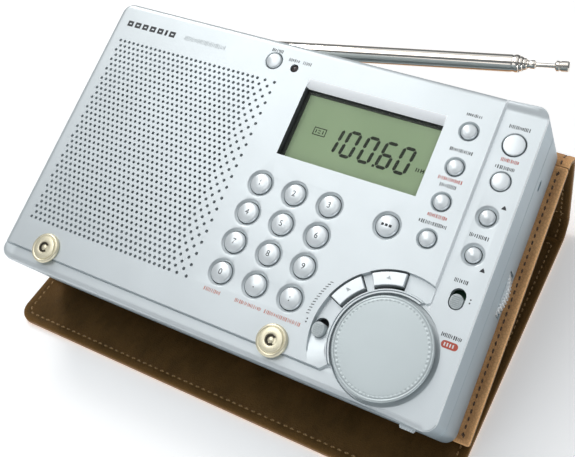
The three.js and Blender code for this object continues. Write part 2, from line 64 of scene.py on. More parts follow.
# ---------------------------------------------------------------- frames and places
JOINTS = {joint["name"]: joint for joint in frame["joints"]}
RIGHT = Vector((1, 0, 0))
UP = Vector(JOINTS["key_lock_slide"]["axis"]).normalized()
OUT = RIGHT.cross(UP)


def turned_box(node, axes=(RIGHT, UP, OUT)):
    """Lowest and highest corner of a CAD node along three axes, in millimetres."""
    points = np.array([vertex.co for vertex in frame["nodes"][node].data.vertices])
    along = points @ np.array(axes).T / MM
    return along.min(0), along.max(0)


_low, _high = turned_box("front_cover")
FACE_ORIGIN = np.array([_low[0], _low[1], _high[2]])


def face_box(node):
    """Lowest and highest corner of a CAD node in the face frame."""
    low, high = turned_box(node)
    return low - FACE_ORIGIN, high - FACE_ORIGIN


def centre(node):
    low, high = face_box(node)
    return (low + high) / 2


def travel(joint):
    """How far a slide moves, in millimetres."""
    return JOINTS[joint]["range_m"][1] / MM


def frame_matrix(axes, origin):
    """Millimetres along three axes from an origin, as a matrix to metres in the row frame."""
    matrix = Matrix(axes).transposed().to_4x4() @ Matrix.Scale(MM, 4)
    matrix.translation = origin
    return matrix


FACE_CORNER = Matrix((RIGHT, UP, OUT)).transposed() @ Vector(FACE_ORIGIN * MM)
FACE = frame_matrix((RIGHT, UP, OUT), FACE_CORNER)
SIDE = frame_matrix((UP, OUT, RIGHT), FACE_CORNER)  # x up the face, y out of it, z to the right

WIDTH, HEIGHT, _ = face_box("front_cover")[1]
BACK = face_box("rear_cover")[0][2]
PART_LINE = face_box("rear_cover")[1][2]
PLATE_BACK = -3.0  # inner side of the face
STEP = 1.0  # the lower level of the face is this far below the raised plate
OUTLINE_CORNER = 3.5
RIM_WIDTH = 2.0
EDGE_ROUND = 1.6  # rounding of the face's outer edge
SHARP_EDGE = 0.35  # rounding of its right edge, which is crisp
PLATE_BOTTOM = 4.75
PLATE_RIGHT = 127.7

KNOB_X, KNOB_Y, _ = centre("tuning_knob")
COLLAR_IN = 14.2
COLLAR_GROOVE = 14.75
COLLAR_OUT = 15.2
CHANNEL_OUT = 20.2
WALL_RUN = 0.3  # how far a step's wall leans


# ---------------------------------------------------------------- materials
def scaled(colour, by):
    return [min(1.0, c * by) for c in colour]


class Look:
    """A procedural material: patterns of a real size on the object, linked to one shader."""

    def __init__(self, name, **inputs):
        self.material = bpy.data.materials.new(name)
        self.material.use_nodes = True
        self.tree = self.material.node_tree
        self.shader = self.fill(self.tree.nodes["Principled BSDF"], inputs)

    def fill(self, node, inputs):
        """Sets a node's inputs: each takes a number, a colour or another node's output."""
        for name, value in inputs.items():
            socket = node.inputs[name.replace("_", " ") if isinstance(name, str) else name]
            if isinstance(value, bpy.types.NodeSocket):
                self.tree.links.new(value, socket)
            else:
                socket.default_value = value
        return node

    def node(self, kind, settings=(), **inputs):
        made = self.tree.nodes.new(kind)
        for name, value in dict(settings).items():
            setattr(made, name, value)
        return self.fill(made, inputs)

    def place(self, stretch=(1, 1, 1)):
        """The point on the object in metres, stretched along each axis."""
        place = self.node("ShaderNodeTexCoord").outputs["Object"]
        return self.node("ShaderNodeMapping", Vector=place, Scale=stretch).outputs["Vector"]

    def noise(self, size_mm, detail=3.0, stretch=(1, 1, 1)):
        """Noise whose features are about size_mm across."""
        inputs = {"Vector": self.place(stretch), "Scale": 1 / (size_mm * MM), "Detail": detail}
        return self.node("ShaderNodeTexNoise", **inputs).outputs[0]

    def ramp(self, factor, *stops):
        """Colours or greys at their places from 0 to 1."""
        made = self.node("ShaderNodeValToRGB", Fac=factor)
        for element, (place, colour) in zip(made.color_ramp.elements, stops):
            element.position = place
            element.color = (*(colour if np.ndim(colour) else [colour] * 3), 1)
        return made.outputs["Color"]

    def gloss(self, factor, low, high):
        """Roughness between two values."""
        return self.ramp(factor, (0.2, low), (0.8, high))

    def total(self, first, second, weight):
        """first + weight * second."""
        made = self.node("ShaderNodeMath", {"operation": "MULTIPLY_ADD"})
        return self.fill(made, {0: second, 1: weight, 2: first}).outputs[0]

    def finish(self, tint, gloss, height, depth_mm, strength=1.0):
        """Links the shader's colour, roughness and bumps."""
        bump = self.node("ShaderNodeBump", Height=height, Distance=depth_mm * MM, Strength=strength)
        self.fill(self.shader, {"Base_Color": tint, "Roughness": gloss, "Normal": bump.outputs["Normal"]})
        return self.material


def lacquer(name, colour, metallic, roughness, coat=0.15, painted_glow=0.0):
    """Sprayed metallic lacquer on moulded plastic: fine flakes and a faint orange peel."""
    # painted_glow makes the lacquer give off light of its own colour: painted light
    look = Look(name, Metallic=metallic, Coat_Weight=coat, Coat_Roughness=0.3, Emission_Strength=painted_glow)
    look.fill(look.shader, {"Emission_Color": (*colour, 1)})
    flakes = look.noise(0.16, 2.0)
    tint = look.total(look.noise(14.0, 2.0), flakes, 0.55)
    return look.finish(
        look.ramp(tint, (0.5, scaled(colour, 0.965)), (1.0, scaled(colour, 1.03))),
        look.gloss(flakes, roughness * 0.92, roughness * 1.08),
        look.total(look.noise(0.7), flakes, 0.25),
        0.006,
        0.35,
    )


def plain_plastic(name, colour, roughness, grain_mm=0.3, depth_mm=0.02):
    look = Look(name)
    grain = look.noise(grain_mm, 4.0)
    tint = look.ramp(look.noise(9.0, 2.0), (0.3, scaled(colour, 0.9)), (0.7, scaled(colour, 1.1)))
    return look.finish(tint, look.gloss(grain, roughness * 0.85, min(1, roughness * 1.12)), grain, depth_mm)


def metal(name, colour, roughness, scratch_mm=0.25, stretch=(1, 1, 1), metallic=1.0):
    """Plated metal with fine scratches along one direction and slightly duller patches."""
    look = Look(name, Metallic=metallic)
    scratches = look.noise(scratch_mm, 3.0, stretch)
    tint = look.ramp(look.noise(5.0), (0.3, scaled(colour, 0.92)), (0.7, colour))
    gloss = look.ramp(scratches, (0.25, roughness * 0.7), (0.8, roughness * 1.5))
    return look.finish(tint, gloss, scratches, 0.0015, 0.25)


def leather(name, dark, light, grain_mm=0.55, depth_mm=0.07, roughness=0.5):
    """Grained leather: cells with creases between them, cloudy colour, and lighter wear at the rims,
    which the mesh marks with its attribute named rim."""
    look = Look(name, Specular_IOR_Level=0.12)
    inputs = {"Vector": look.place(), "Scale": 1 / (grain_mm * MM)}
    cells = look.node("ShaderNodeTexVoronoi", {"feature": "DISTANCE_TO_EDGE"}, **inputs)
    grain = look.ramp(cells.outputs["Distance"], (0.0, 0.0), (0.16, 1.0))
    streaks = look.noise(2.2, 3.0, (1, 0.35, 1))
    colour = look.ramp(look.total(look.noise(9.0, 4.0), streaks, 0.5), (0.5, dark), (0.98, light))
    rim = look.node("ShaderNodeAttribute", {"attribute_name": "rim"}).outputs["Fac"]
    worn = look.node("ShaderNodeMix", {"data_type": "RGBA"})
    look.fill(worn, {0: rim, 6: colour, 7: (*scaled(light, 1.5), 1)})
    creased = look.node("ShaderNodeMix", {"data_type": "RGBA", "blend_type": "MULTIPLY"})
    look.fill(creased, {0: 0.22, 6: worn.outputs[2], 7: grain})
    gloss = look.ramp(streaks, (0.25, roughness * 0.85), (0.8, roughness * 1.25))
    return look.finish(creased.outputs[2], gloss, look.total(grain, look.noise(0.18), 0.35), depth_mm)


def cut_edge():
    """The cut side of the board: layered, burnished leather."""
    look = Look("leather_cut_edge", Specular_IOR_Level=0.4)
    layers = look.noise(0.3, 3.0, (0.2, 0.6, 1.6))
    tint = look.ramp(layers, (0.3, (0.19, 0.095, 0.035)), (0.72, (0.42, 0.25, 0.115)))
    return look.finish(tint, look.gloss(look.noise(0.12, 2.0), 0.5, 0.75), layers, 0.08)


def thread(name, dark, light):
    look = Look(name, Sheen_Weight=0.3)
    inputs = {"Vector": look.place(), "Scale": 1 / (1.4 * MM), "Distortion": 0.6}
    wave = look.node("ShaderNodeTexWave", {"bands_direction": "DIAGONAL"}, **inputs)
    twist = wave.outputs[0]
    tint = look.ramp(twist, (0.2, dark), (0.8, light))
    return look.finish(tint, look.gloss(twist, 0.85, 0.62), twist, 0.05)


def display_glass():
    """Liquid crystal glass in front of its olive reflector."""
    look = Look("display_reflector", Specular_IOR_Level=0.3)
    grain = look.noise(0.25, 2.0)
    tint = look.total(look.noise(20.0, 1.0), grain, 0.2)
    colours = look.ramp(tint, (0.4, (0.49, 0.60, 0.43)), (0.85, (0.56, 0.67, 0.50)))
    return look.finish(colours, look.gloss(grain, 0.4, 0.6), grain, 0.01)


def clear_window():
    """A clear window: it lets nearly everything through and reflects at glancing angles."""
    look = Look("clear_window", Base_Color=(0.9, 0.93, 0.86, 1))
    clear = look.node("ShaderNodeBsdfTransparent", Color=(0.95, 0.97, 0.93, 1))
    edge = look.node("ShaderNodeFresnel", IOR=1.3)
    look.fill(look.shader, {"Roughness": look.ramp(look.noise(6.0), (0.3, 0.02), (0.8, 0.09))})
    both = look.node("ShaderNodeMixShader")
    look.fill(both, {0: edge.outputs[0], 1: clear.outputs[0], 2: look.shader.outputs[0]})
    look.fill(look.tree.nodes["Material Output"], {"Surface": both.outputs[0]})
    return look.material


def ink(name, colour):
    look = Look(name, Specular_IOR_Level=0.3)
    speckle = look.noise(0.2, 2.0)
    tint = look.ramp(speckle, (0.3, scaled(colour, 0.85)), (0.7, scaled(colour, 1.2)))
    look.fill(look.shader, {"Base_Color": tint, "Roughness": look.gloss(speckle, 0.5, 0.7)})
    return look.material


SILVER = lacquer("silver_lacquer", (0.64, 0.69, 0.71), 0.5, 0.42)
# a darker, bluer copy of the silver for the sides, the back and the door: painted shade
SHADED_SILVER = lacquer("shaded_rear_lacquer", (0.37, 0.45, 0.495), 0.5, 0.42)
# a pale, nearly non-metallic copy of the silver: painted highlight along the face's right edge and the plate's
# slope to the right column
PAINTED_HIGHLIGHT_EDGE = lacquer("painted_highlight_edge", (0.90, 0.94, 0.96), 0.05, 0.42)
# the slope above the display: pale and glowing faintly, painted light on the ramp
PAINTED_LIGHT_RAMP = lacquer("display_ramp_painted_light", (0.93, 0.96, 1.0), 0.0, 0.35, painted_glow=0.1)
KEY_SILVER = lacquer("key_lacquer", (0.76, 0.81, 0.83), 0.35, 0.30, 0.3)
KNOB_SILVER = lacquer("knob_lacquer", (0.53, 0.59, 0.60), 0.45, 0.40, 0.1)
# near-black plastic for insides, also laid where shade falls: the display opening's walls and strips
DARK_INSIDE_AND_SHADE = plain_plastic("shell_inside_and_shade", (0.045, 0.05, 0.055), 0.7)
SLIDER_GREY = plain_plastic("slider_grey", (0.55, 0.60, 0.61), 0.5)
GRILLE_SHADE = plain_plastic("grille_shade", (0.22, 0.24, 0.25), 0.6)
RUBBER = plain_plastic("dark_rubber", (0.05, 0.052, 0.055), 0.75, 0.2, 0.03)
LAMP_DARK = plain_plastic("lamp_lens", (0.06, 0.05, 0.05), 0.2)
BOARD_GREEN = plain_plastic("circuit_board", (0.03, 0.16, 0.08), 0.5)
PAPER_CONE = plain_plastic("paper_cone", (0.03, 0.03, 0.03), 0.9, 0.5, 0.1)
CELL_SLEEVE = plain_plastic("cell_sleeve", (0.05, 0.12, 0.25), 0.35)
FERRITE = plain_plastic("ferrite", (0.05, 0.045, 0.04), 0.8)
CHROME = metal("antenna_chrome", (0.93, 0.87, 0.79), 0.07, 0.5, (0.05, 1, 1))
STEEL = metal("plated_steel", (0.62, 0.63, 0.64), 0.3)
GILT = metal("press_stud_gilt", (0.86, 0.80, 0.60), 0.34, 0.3, metallic=0.6)
# near-black metal for the stud's spring ring: painted shade in the socket
SPRING_SHADE = metal("press_stud_spring_shade", (0.05, 0.042, 0.03), 0.45, 0.3, metallic=0.5)
LEATHER = leather("cover_leather", (0.085, 0.045, 0.011), (0.145, 0.075, 0.021))
LINING = leather("cover_lining", (0.54, 0.275, 0.115), (0.69, 0.38, 0.175), 0.9, 0.04, 0.7)
CUT_EDGE = cut_edge()
THREAD = thread("stitch_thread", (0.20, 0.11, 0.035), (0.40, 0.24, 0.09))
# a darker copy of the thread for the stitches on the lining: painted shade of the stitch holes
SHADED_THREAD = thread("shaded_stitch_thread", (0.05, 0.025, 0.01), (0.13, 0.07, 0.03))
REFLECTOR = display_glass()
WINDOW = clear_window()
DARK_INK = ink("dark_ink", (0.055, 0.058, 0.062))
RED_INK = ink("red_ink", (0.50, 0.10, 0.07))
PINK_INK = ink("pink_ink", (0.62, 0.27, 0.22))
SEGMENT = ink("display_segments", (0.010, 0.016, 0.009))
WHITE_INK = ink("white_ink", (0.8, 0.8, 0.8))


# ---------------------------------------------------------------- outlines in the plane
def arc(x, y, radius, start, end, count):
    """Points from one angle to another, in degrees."""
    angles = np.radians(np.linspace(start, end, count))
    return [(x + radius * math.cos(a), y + radius * math.sin(a)) for a in angles]


def knob_arc(radius, start, end, count):
    return arc(KNOB_X, KNOB_Y, radius, start, end, count)


def knob_point(radius, angle):
    return knob_arc(radius, angle, angle, 1)[0]


def circle(x, y, radius, count=32):
    return arc(x, y, radius, 0, 360 * (1 - 1 / count), count)


def rounded_rect(x0, y0, x1, y1, radius, count=8):
    corners = [(x1 - radius, y0 + radius, -90), (x1 - radius, y1 - radius, 0)]
    corners += [(x0 + radius, y1 - radius, 90), (x0 + radius, y0 + radius, 180)]
    points = []
    for x, y, start in corners:
        points += arc(x, y, radius, start, start + 90, count)
    return points


def capsule(x, y, width, height):
    radius = width / 2 - 0.001
    return rounded_rect(x - width / 2, y - height / 2, x + width / 2, y + height / 2, radius, 10)


def unit(vector):
    return vector / (np.linalg.norm(vector) or 1)


def grown(loop, by):
    """A counter-clockwise loop moved outwards by a distance, or inwards if it is negative."""
    points = np.array(loop, float)
    before = points - np.roll(points, 1, 0)
    after = np.roll(points, -1, 0) - points
    moved = []
    for point, a, b in zip(points, before, after):
        along = unit(a) + unit(b)
        length = np.linalg.norm(along) or 1
        normal = np.array([along[1], -along[0]]) / length
        moved.append(tuple(point + normal * by / max(0.4, length / 2)))
    return moved


def inside(points, loop):
    """Which points lie inside a loop."""
    x, y = np.array(points, float).T
    result = np.zeros(len(x), bool)
    loop = np.array(loop, float)
    for (x0, y0), (x1, y1) in zip(loop, np.roll(loop, -1, 0)):
        if y0 != y1:
            result ^= ((y0 > y) != (y1 > y)) & (x < (x1 - x0) * (y - y0) / (y1 - y0) + x0)
    return result


def distance(points, loop):
    """Each point's distance to a loop."""
    points, loop = np.array(points, float), np.array(loop, float)
    nearest = np.full(len(points), np.inf)
    for a, b in zip(loop, np.roll(loop, -1, 0)):
        along = b - a
        share = np.clip(((points - a) @ along) / max(along @ along, 1e-12), 0, 1)
        gap = points - (a + share[:, None] * along)
        nearest = np.minimum(nearest, np.hypot(gap[:, 0], gap[:, 1]))
    return nearest


def depth_inside(points, loop):
    """Distance to the loop, positive inside and negative outside."""
    return np.where(inside(points, loop), 1, -1) * distance(points, loop)


def near_any(points, spots, reach):
    """Which points lie within reach of one of the spots."""
    near = np.zeros(len(points), bool)
    for x, y in spots:
        near |= np.hypot(points[:, 0] - x, points[:, 1] - y) < reach
    return near


def ease(share):
    share = np.clip(share, 0, 1)
    return share * share * (3 - 2 * share)


def dip(away, half):
    """1 in the middle of a groove, falling to 0 at half its width."""
    return np.clip(1 - np.abs(away) / half, 0, 1)


# ---------------------------------------------------------------- shapes
MARK_HALF = 0.03  # marks reach this far above and below their surface


class Shape:
    """Vertices and faces in millimetres, with a material number for each face."""

    def __init__(self, points=(), faces=()):
        self.points = [tuple(map(float, point)) for point in points]
        self.faces = [tuple(face) for face in faces]
        self.looks = [0] * len(self.faces)

    def join(self, other, look=None):
        base = len(self.points)
        self.points += other.points
        self.faces += [tuple(base + i for i in face) for face in other.faces]
        self.looks += other.looks if look is None else [look] * len(other.faces)
        return self


def at_level(loop, z):
    return [(x, y, z) for x, y in loop]


def loft(loops, closed=False):
    """A skin through loops of points, capped at both ends, or closed from the last to the first."""
    count = len(loops[0])
    points = [point for loop in loops for point in loop]
    faces = []
    for ring in range(len(loops) if closed else len(loops) - 1):
        a, b = ring * count, (ring + 1) % len(loops) * count
        for i in range(count):
            j = (i + 1) % count
            faces.append((a + i, a + j, b + j, b + i))
    if not closed:
        faces += [reversed(range(count)), range(len(points) - count, len(points))]
    return Shape(points, faces)


def prism(loop, z0, z1, bevel=0.0, bottom_bevel=0.0):
    """A loop carried from z0 to z1, with a rounded top edge and, if asked, a rounded bottom edge."""
    quarter = [(1 - math.cos(a), 1 - math.sin(a)) for a in np.radians((0, 30, 60, 90))]
    foot = [(bottom_bevel * inset, z0 + bottom_bevel * rise) for inset, rise in reversed(quarter)]
    top = [(bevel * inset, z1 - bevel * drop) for inset, drop in quarter]
    levels = (foot if bottom_bevel else [(0, z0)]) + (top if bevel else [(0, z1)])
    return loft([at_level(grown(loop, -inset) if inset else loop, z) for inset, z in levels])


def block(x0, x1, y0, y1, z0, z1):
    return prism([(x0, y0), (x1, y0), (x1, y1), (x0, y1)], z0, z1)


def turned(x, y, profile, count=40):
    """A profile of (radius, z) points, from the bottom centre round to the top centre, turned about z."""
    points, rings, faces = [], [], []
    for radius, z in profile:
        loop = circle(x, y, radius, count) if radius else [(x, y)]
        rings.append([len(points) + i % len(loop) for i in range(count)])
        points += at_level(loop, z)
    for low, high in zip(rings, rings[1:]):
        for i in range(count):
            j = (i + 1) % count
            faces.append(dict.fromkeys((low[i], low[j], high[j], high[i])))
    return Shape(points, faces)


def round_profile(radius, bottom, top, edge, crown=0.0):
    """A button's profile: straight side, rounded edge, and a top that rises to a crown."""
    profile = [(0, bottom), (radius, bottom)]
    flat = radius - edge
    for a in np.radians(np.linspace(0, 90, 6)):
        profile.append((flat + edge * math.cos(a), top - edge + edge * math.sin(a)))
    for share in (0.75, 0.5, 0.25, 0.0):
        profile.append((flat * share, top + crown * (1 - share * share)))
    return profile


def flat_mesh(loops, holes=(), lines=(), spots=()):
    """Triangles inside the first loop and outside the holes, with every loop and line as edges."""
    points, edges = [], []
    for group, gap in ((loops, 0), (holes, 0), (lines, 1)):
        for line in group:
            base, count = len(points), len(line)
            points += [Vector(point) for point in line]
            edges += [(base + i, base + (i + 1) % count) for i in range(count - gap)]
    points += [Vector(spot) for spot in spots]
    found = delaunay_2d_cdt(points, edges, [], 0, 1e-5)
    points = np.array([tuple(point) for point in found[0]])
    triangles = np.array(found[2])
    middles = points[triangles].mean(1)
    keep = inside(middles, loops[0])
    for hole in holes:
        near = np.all((middles > np.min(hole, 0)) & (middles < np.max(hole, 0)), axis=1)
        keep[near] &= ~inside(middles[near], hole)
    used, triangles = np.unique(triangles[keep], return_inverse=True)
    return points[used], triangles.reshape(-1, 3).tolist()


def layer(flat, level):
    return np.column_stack([flat, np.broadcast_to(level, len(flat))])


def sheet(upper, lower, faces, looks=(0, 0, 0)):
    """A closed shape between two layers of points, with walls along the faces' open edges. The looks
    are for the upper faces, the lower faces and the walls."""
    count = len(upper)
    skins, edges = [], {}
    for face in faces:
        skins += [face, [count + i for i in reversed(face)]]
        edges.update(dict.fromkeys(zip(face, [*face[1:], face[0]])))
    walls = [(a, count + a, count + b, b) for a, b in edges if (b, a) not in edges]
    shape = Shape([*upper, *lower], skins + walls)
    shape.looks = [*looks[:2]] * len(faces) + [looks[2]] * len(walls)
    return shape


def raised(flat, faces, top):
    """Flat faces, all wound the same way, as a thin closed layer on the surface that top(points) gives."""
    flat = np.array(flat, float)
    area = 0
    for face in faces:
        x, y = flat[list(face)].T
        area += x @ np.roll(y, -1) - y @ np.roll(x, -1)
    upward = faces if area > 0 else [face[::-1] for face in faces]
    level = top(flat)
    return sheet(layer(flat, level + MARK_HALF), layer(flat, level - MARK_HALF), upward)


def patch(loop, top):
    """One flat face as a thin layer on a surface."""
    return raised(loop, [range(len(loop))], top)


def bars(rectangles, top):
    """Thin marks, each (left, bottom, right, top), lying on a surface."""
    shape = Shape()
    for x0, y0, x1, y1 in rectangles:
        columns = max(2, int(abs(x1 - x0) / 0.5) + 1)
        xs = np.linspace(x0, x1, columns)
        flat = [(x, y0) for x in xs] + [(x, y1) for x in xs]
        faces = [(i, i + 1, columns + i + 1, columns + i) for i in range(columns - 1)]
        shape.join(raised(flat, faces, top))
    return shape


# ---------------------------------------------------------------- objects
def add_object(name, data):
    made = bpy.data.objects.new(name, data)
    bpy.context.scene.collection.objects.link(made)
    return made


def add_mesh(name, shape, matrix, materials=()):
    mesh = bpy.data.meshes.new(name)
    mesh.from_pydata([matrix @ Vector(point) for point in shape.points], [], shape.faces)
    for material in materials:
        mesh.materials.append(material)
    mesh.polygons.foreach_set("material_index", shape.looks)
    mesh.validate()
    return add_object(name, mesh)


def smooth(piece, sharp=32, weighted=True):
    """Smooth shading except at edges sharper than an angle in degrees."""
    piece.data.polygons.foreach_set("use_smooth", [True] * len(piece.data.polygons))
    piece.data.set_sharp_from_angle(angle=math.radians(sharp))
    if weighted:
        modifier = piece.modifiers.new("weighted_normals", "WEIGHTED_NORMAL")
        modifier.keep_sharp = True
        modifier.weight = 60


def hand_over(piece, body=None, slot=None, replaces=()):
    """Says which body a piece rides on and the CAD nodes that it stands for. The slot is not used."""
    if body:
        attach(piece, body)
    if replaces:
        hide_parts(*replaces)


def make_piece(name, shape, matrix, materials, *roles, sharp=32, weighted=True):
    """A mesh object from a shape. The roles are its body, its slot, which is not used, and the CAD nodes it stands
    for.
    """
    piece = add_mesh(name, shape, matrix, materials)
    smooth(piece, sharp, weighted)
    hand_over(piece, *roles)
    return piece


BODY_OF = {
    node: body for body, nodes in frame["record"]["behaviour"]["bodies"].items() for node in nodes
}


def piece_for(node, shape, materials, slot, matrix=FACE, **options):
    """A piece that stands for one CAD node and moves with it."""
    return make_piece(f"{node}_looks", shape, matrix, materials, BODY_OF[node], slot, [node], **options)


def cut_away(piece, shape, matrix=FACE):
    """Cuts a closed shape out of a piece, for good."""
    cutter = add_mesh("cutter", shape, matrix)
    modifier = piece.modifiers.new("cut", "BOOLEAN")
    modifier.object = cutter
    modifier.operation = "DIFFERENCE"
    modifier.solver = "EXACT"
    graph = bpy.context.evaluated_depsgraph_get()
    result = bpy.data.meshes.new_from_object(piece.evaluated_get(graph), depsgraph=graph)
    piece.modifiers.clear()
    piece.data = result
    bpy.data.objects.remove(cutter)


def figure(words, x, y, height, top):
    """Figures as thin raised shapes on a surface."""
    curve = bpy.data.curves.new("figure", "FONT")
    curve.body = words
    curve.align_x = "CENTER"
    curve.align_y = "CENTER"
    curve.size = height * 1.38
    curve.resolution_u = 4
    holder = add_object("figure", curve)
    graph = bpy.context.evaluated_depsgraph_get()
    mesh = bpy.data.meshes.new_from_object(holder.evaluated_get(graph), depsgraph=graph)
    flat = [(vertex.co.x + x, vertex.co.y + y) for vertex in mesh.vertices]
    faces = [tuple(face.vertices) for face in mesh.polygons]
    bpy.data.objects.remove(holder)
    return raised(flat, faces, top)


# ---------------------------------------------------------------- the face's surface
OUTLINE = rounded_rect(0, 0, WIDTH, HEIGHT, OUTLINE_CORNER)
CHAMFER = [(107.3, PLATE_BOTTOM), (109.9, 7.3)]
CHAMFER_ANGLE = 214.7
COLLAR_END = 71.5
CHANNEL_START = 45
CHANNEL_DEPTH = 1.5
KNOB_WELL = 2.4
KNOB_SHAFT_HOLE = 3.3
KNOB_WALL = 0.15  # the well's wall leans by this
SEAM_WIDTH = 0.16  # a narrow groove at the foot of the raised plate's edge
SEAM_DEPTH = 0.25
SEAM_END = 110.5
COLLAR_NOTCH = 0.45
NOTCH_HALF = 0.14
RIGHT_RUN = 0.5  # the plate's slope down to the right column, pale with a painted highlight
SLOPE_BOTTOM = 28
LEFT_FADE = 4.5  # the lower level rises to the plate's at the left and top edges
TOP_FADE = 3.2
CHANNEL_FADE = (178, 212)  # the channel's floor rises to the plate between these angles
BEYOND = 6
RAISED = (
    [(-BEYOND, PLATE_BOTTOM), *CHAMFER]
    + knob_arc(COLLAR_IN, CHAMFER_ANGLE, COLLAR_END, 60)
    + [(PLATE_RIGHT, 30.0), (PLATE_RIGHT, HEIGHT + BEYOND), (-BEYOND, HEIGHT + BEYOND)]
)

# The display's opening, from the window that fills it, and the ramp above it.
_low, _high = face_box("display_window")
WINDOW_GAP = 0.2
OPENING = (*(_low[:2] - WINDOW_GAP), *(_high[:2] + WINDOW_GAP))
RAMP_TOP = OPENING[3] + 2.6
RAMP_DEPTH = 1.7
RAMP_SIDE = 0.5

KEYPAD = [f"key_{name}" for name in (*"1234567890", "dot", "enter")]
MODE_BUTTONS = ["mode_button", "page_button", "memory_button", "select_button"]
Button = namedtuple("Button", "name x y radius hole well depth height edge crown")
BUTTON_SIZES = [
    (KEYPAD + ["program_key"], (3.05, 3.3, 4.1, 0.6, 0.25, 0.75, 0.3)),
    (MODE_BUTTONS, (2.2, 2.42, 2.9, 0.6, 0.4, 0.7, 0.25)),
    (["power_button"], (2.95, 3.25, 3.45, 0.2, 0.3, 0.25, 0.12)),
    (["display_button"], (2.5, 2.75, 2.95, 0.2, 0.4, 0.5, 0.2)),
    (["alarm_1_button", "alarm_2_button"], (2.1, 2.35, 3.25, 0.7, 0.2, 0.75, 0.3)),
    (["light_button"], (2.35, 2.6, 2.85, 0.25, 0.4, 0.5, 0.25)),
]
BUTTONS = [Button(name, *centre(name)[:2], *sizes) for names, sizes in BUTTON_SIZES for name in names]
SLIDER_SLOTS = {"key_lock_slider": (4.1, 5.7), "tuning_lock_slider": (3.9, 5.4)}
SLIDER_CAP = (3.4, 3.9)
LAMP_X, LAMP_Y, _ = centre("signal_lamp")
LAMP_HOLE = 1.3
ARC_BUTTONS = {"tuning_up_button": (93.5, 121.0), "tuning_down_button": (129.5, 157.0)}
ARC_IN, ARC_OUT = 16.25, 19.75
ARC_MARK = 18.05  # distance of their small triangles from the knob's axis
ARC_HOLE_IN, ARC_HOLE_OUT = COLLAR_OUT + 0.15, CHANNEL_OUT + 0.12
ARC_HOLE_TURN = 0.9  # degrees that their hole is longer at each end


def ring_part(inner, outer, start, end, count=14):
    """Part of a ring round the knob."""
    return knob_arc(outer, start, end, count) + knob_arc(inner, end, start, count)


def channel_share(x, y):
    """How deep the curved channel beside the knob is: 0 outside it, 1 at its full depth."""
    radius = np.hypot(x - KNOB_X, y - KNOB_Y)
    angle = np.degrees(np.arctan2(y - KNOB_Y, x - KNOB_X)) % 360
    across = np.clip(np.minimum(radius - COLLAR_OUT, CHANNEL_OUT - radius) / WALL_RUN, 0, 1)
    start, end = CHANNEL_FADE
    along = (1 - ease((angle - start) / (end - start))) * (angle > CHANNEL_START)
    return across * along * (x < PLATE_RIGHT + WALL_RUN)


def plate_height(points):
    """The raised plate, the lower level beside it, and the channel, collar and well round the knob."""
    x, y = points.T
    beyond = -depth_inside(points, RAISED)
    at_right = (x > PLATE_RIGHT - 0.01) & (y > SLOPE_BOTTOM)
    lower = np.clip(beyond / np.where(at_right, RIGHT_RUN, WALL_RUN), 0, 1)
    lower *= STEP * ease(x / LEFT_FADE) * ease((HEIGHT - y) / TOP_FADE)
    seam = SEAM_DEPTH * dip(beyond - WALL_RUN - SEAM_WIDTH, SEAM_WIDTH) * (x < SEAM_END)
    from_knob = np.hypot(x - KNOB_X, y - KNOB_Y)
    notch = COLLAR_NOTCH * dip(from_knob - COLLAR_GROOVE, NOTCH_HALF)
    well = KNOB_WELL * np.clip((COLLAR_IN - from_knob) / KNOB_WALL, 0, 1)
    return -np.max([lower + seam, CHANNEL_DEPTH * channel_share(x, y), notch, well], axis=0)


def face_height(points):
    """The outer surface of the front cover at each point."""
    points = np.array(points, float)
    x, y = points.T
    height = plate_height(points)
    x0, _, x1, y1 = OPENING
    rise = np.clip((y - y1) / (RAMP_TOP - y1), 0, 1)
    sides = np.clip(np.minimum(x - x0, x1 - x) / RAMP_SIDE, 0, 1)
    on_ramp = (x >= x0) & (x <= x1) & (y >= y1 - 1e-6) & (y <= RAMP_TOP)
    height = np.where(on_ramp, -RAMP_DEPTH * (1 - rise) ** 1.7 * sides, height)
    for button in BUTTONS:
        radius = np.hypot(x - button.x, y - button.y)
        share = np.clip((button.well - radius) / (button.well - button.hole), 0, 1)
        height -= button.depth * np.sin(share * math.pi / 2) ** 2
    rounding = EDGE_ROUND + (SHARP_EDGE - EDGE_ROUND) * ease((x - (WIDTH - 8)) / 6)
    short = np.clip(rounding - distance(points, OUTLINE), 0, None)
    return height - (rounding - np.sqrt(np.clip(rounding**2 - short**2, 0, None)))


# ---------------------------------------------------------------- speaker grille
SPEAKER_X, SPEAKER_Y, _ = centre("speaker_frame")
SPEAKER_RIGHT = 63.0
GRILLE_PITCH = 1.69
GRILLE_ROWS = 37
GRILLE_COLUMNS = 30
GRILLE_LEFT = (5.0, 5.85)  # first hole of even and odd rows
GRILLE_BOTTOM = 14.0
GRILLE_SPREAD = ((1.7, 4.3, 7.5), (2.15, 4.95))  # the last holes' distances past the regular ones
OPEN_RADIUS = 25.5  # holes this near the speaker's middle go right through, and the others are dimples
HOLE_RADIUS = 0.47
HOLE_EDGE = 0.04
DIMPLE_DEPTH = 0.6


def grille_places():
    places = []
    for row in range(GRILLE_ROWS):
        left = GRILLE_LEFT[row % 2]
        regular = [i * GRILLE_PITCH for i in range(GRILLE_COLUMNS)]
        spread = [regular[-1] + further for further in GRILLE_SPREAD[row % 2]]
        places += [(left + x, GRILLE_BOTTOM + row * GRILLE_PITCH) for x in regular + spread]
    return places


def is_open(place):
    return math.dist(place, (SPEAKER_X, SPEAKER_Y)) < OPEN_RADIUS


DIMPLES = [place for place in grille_places() if not is_open(place)]


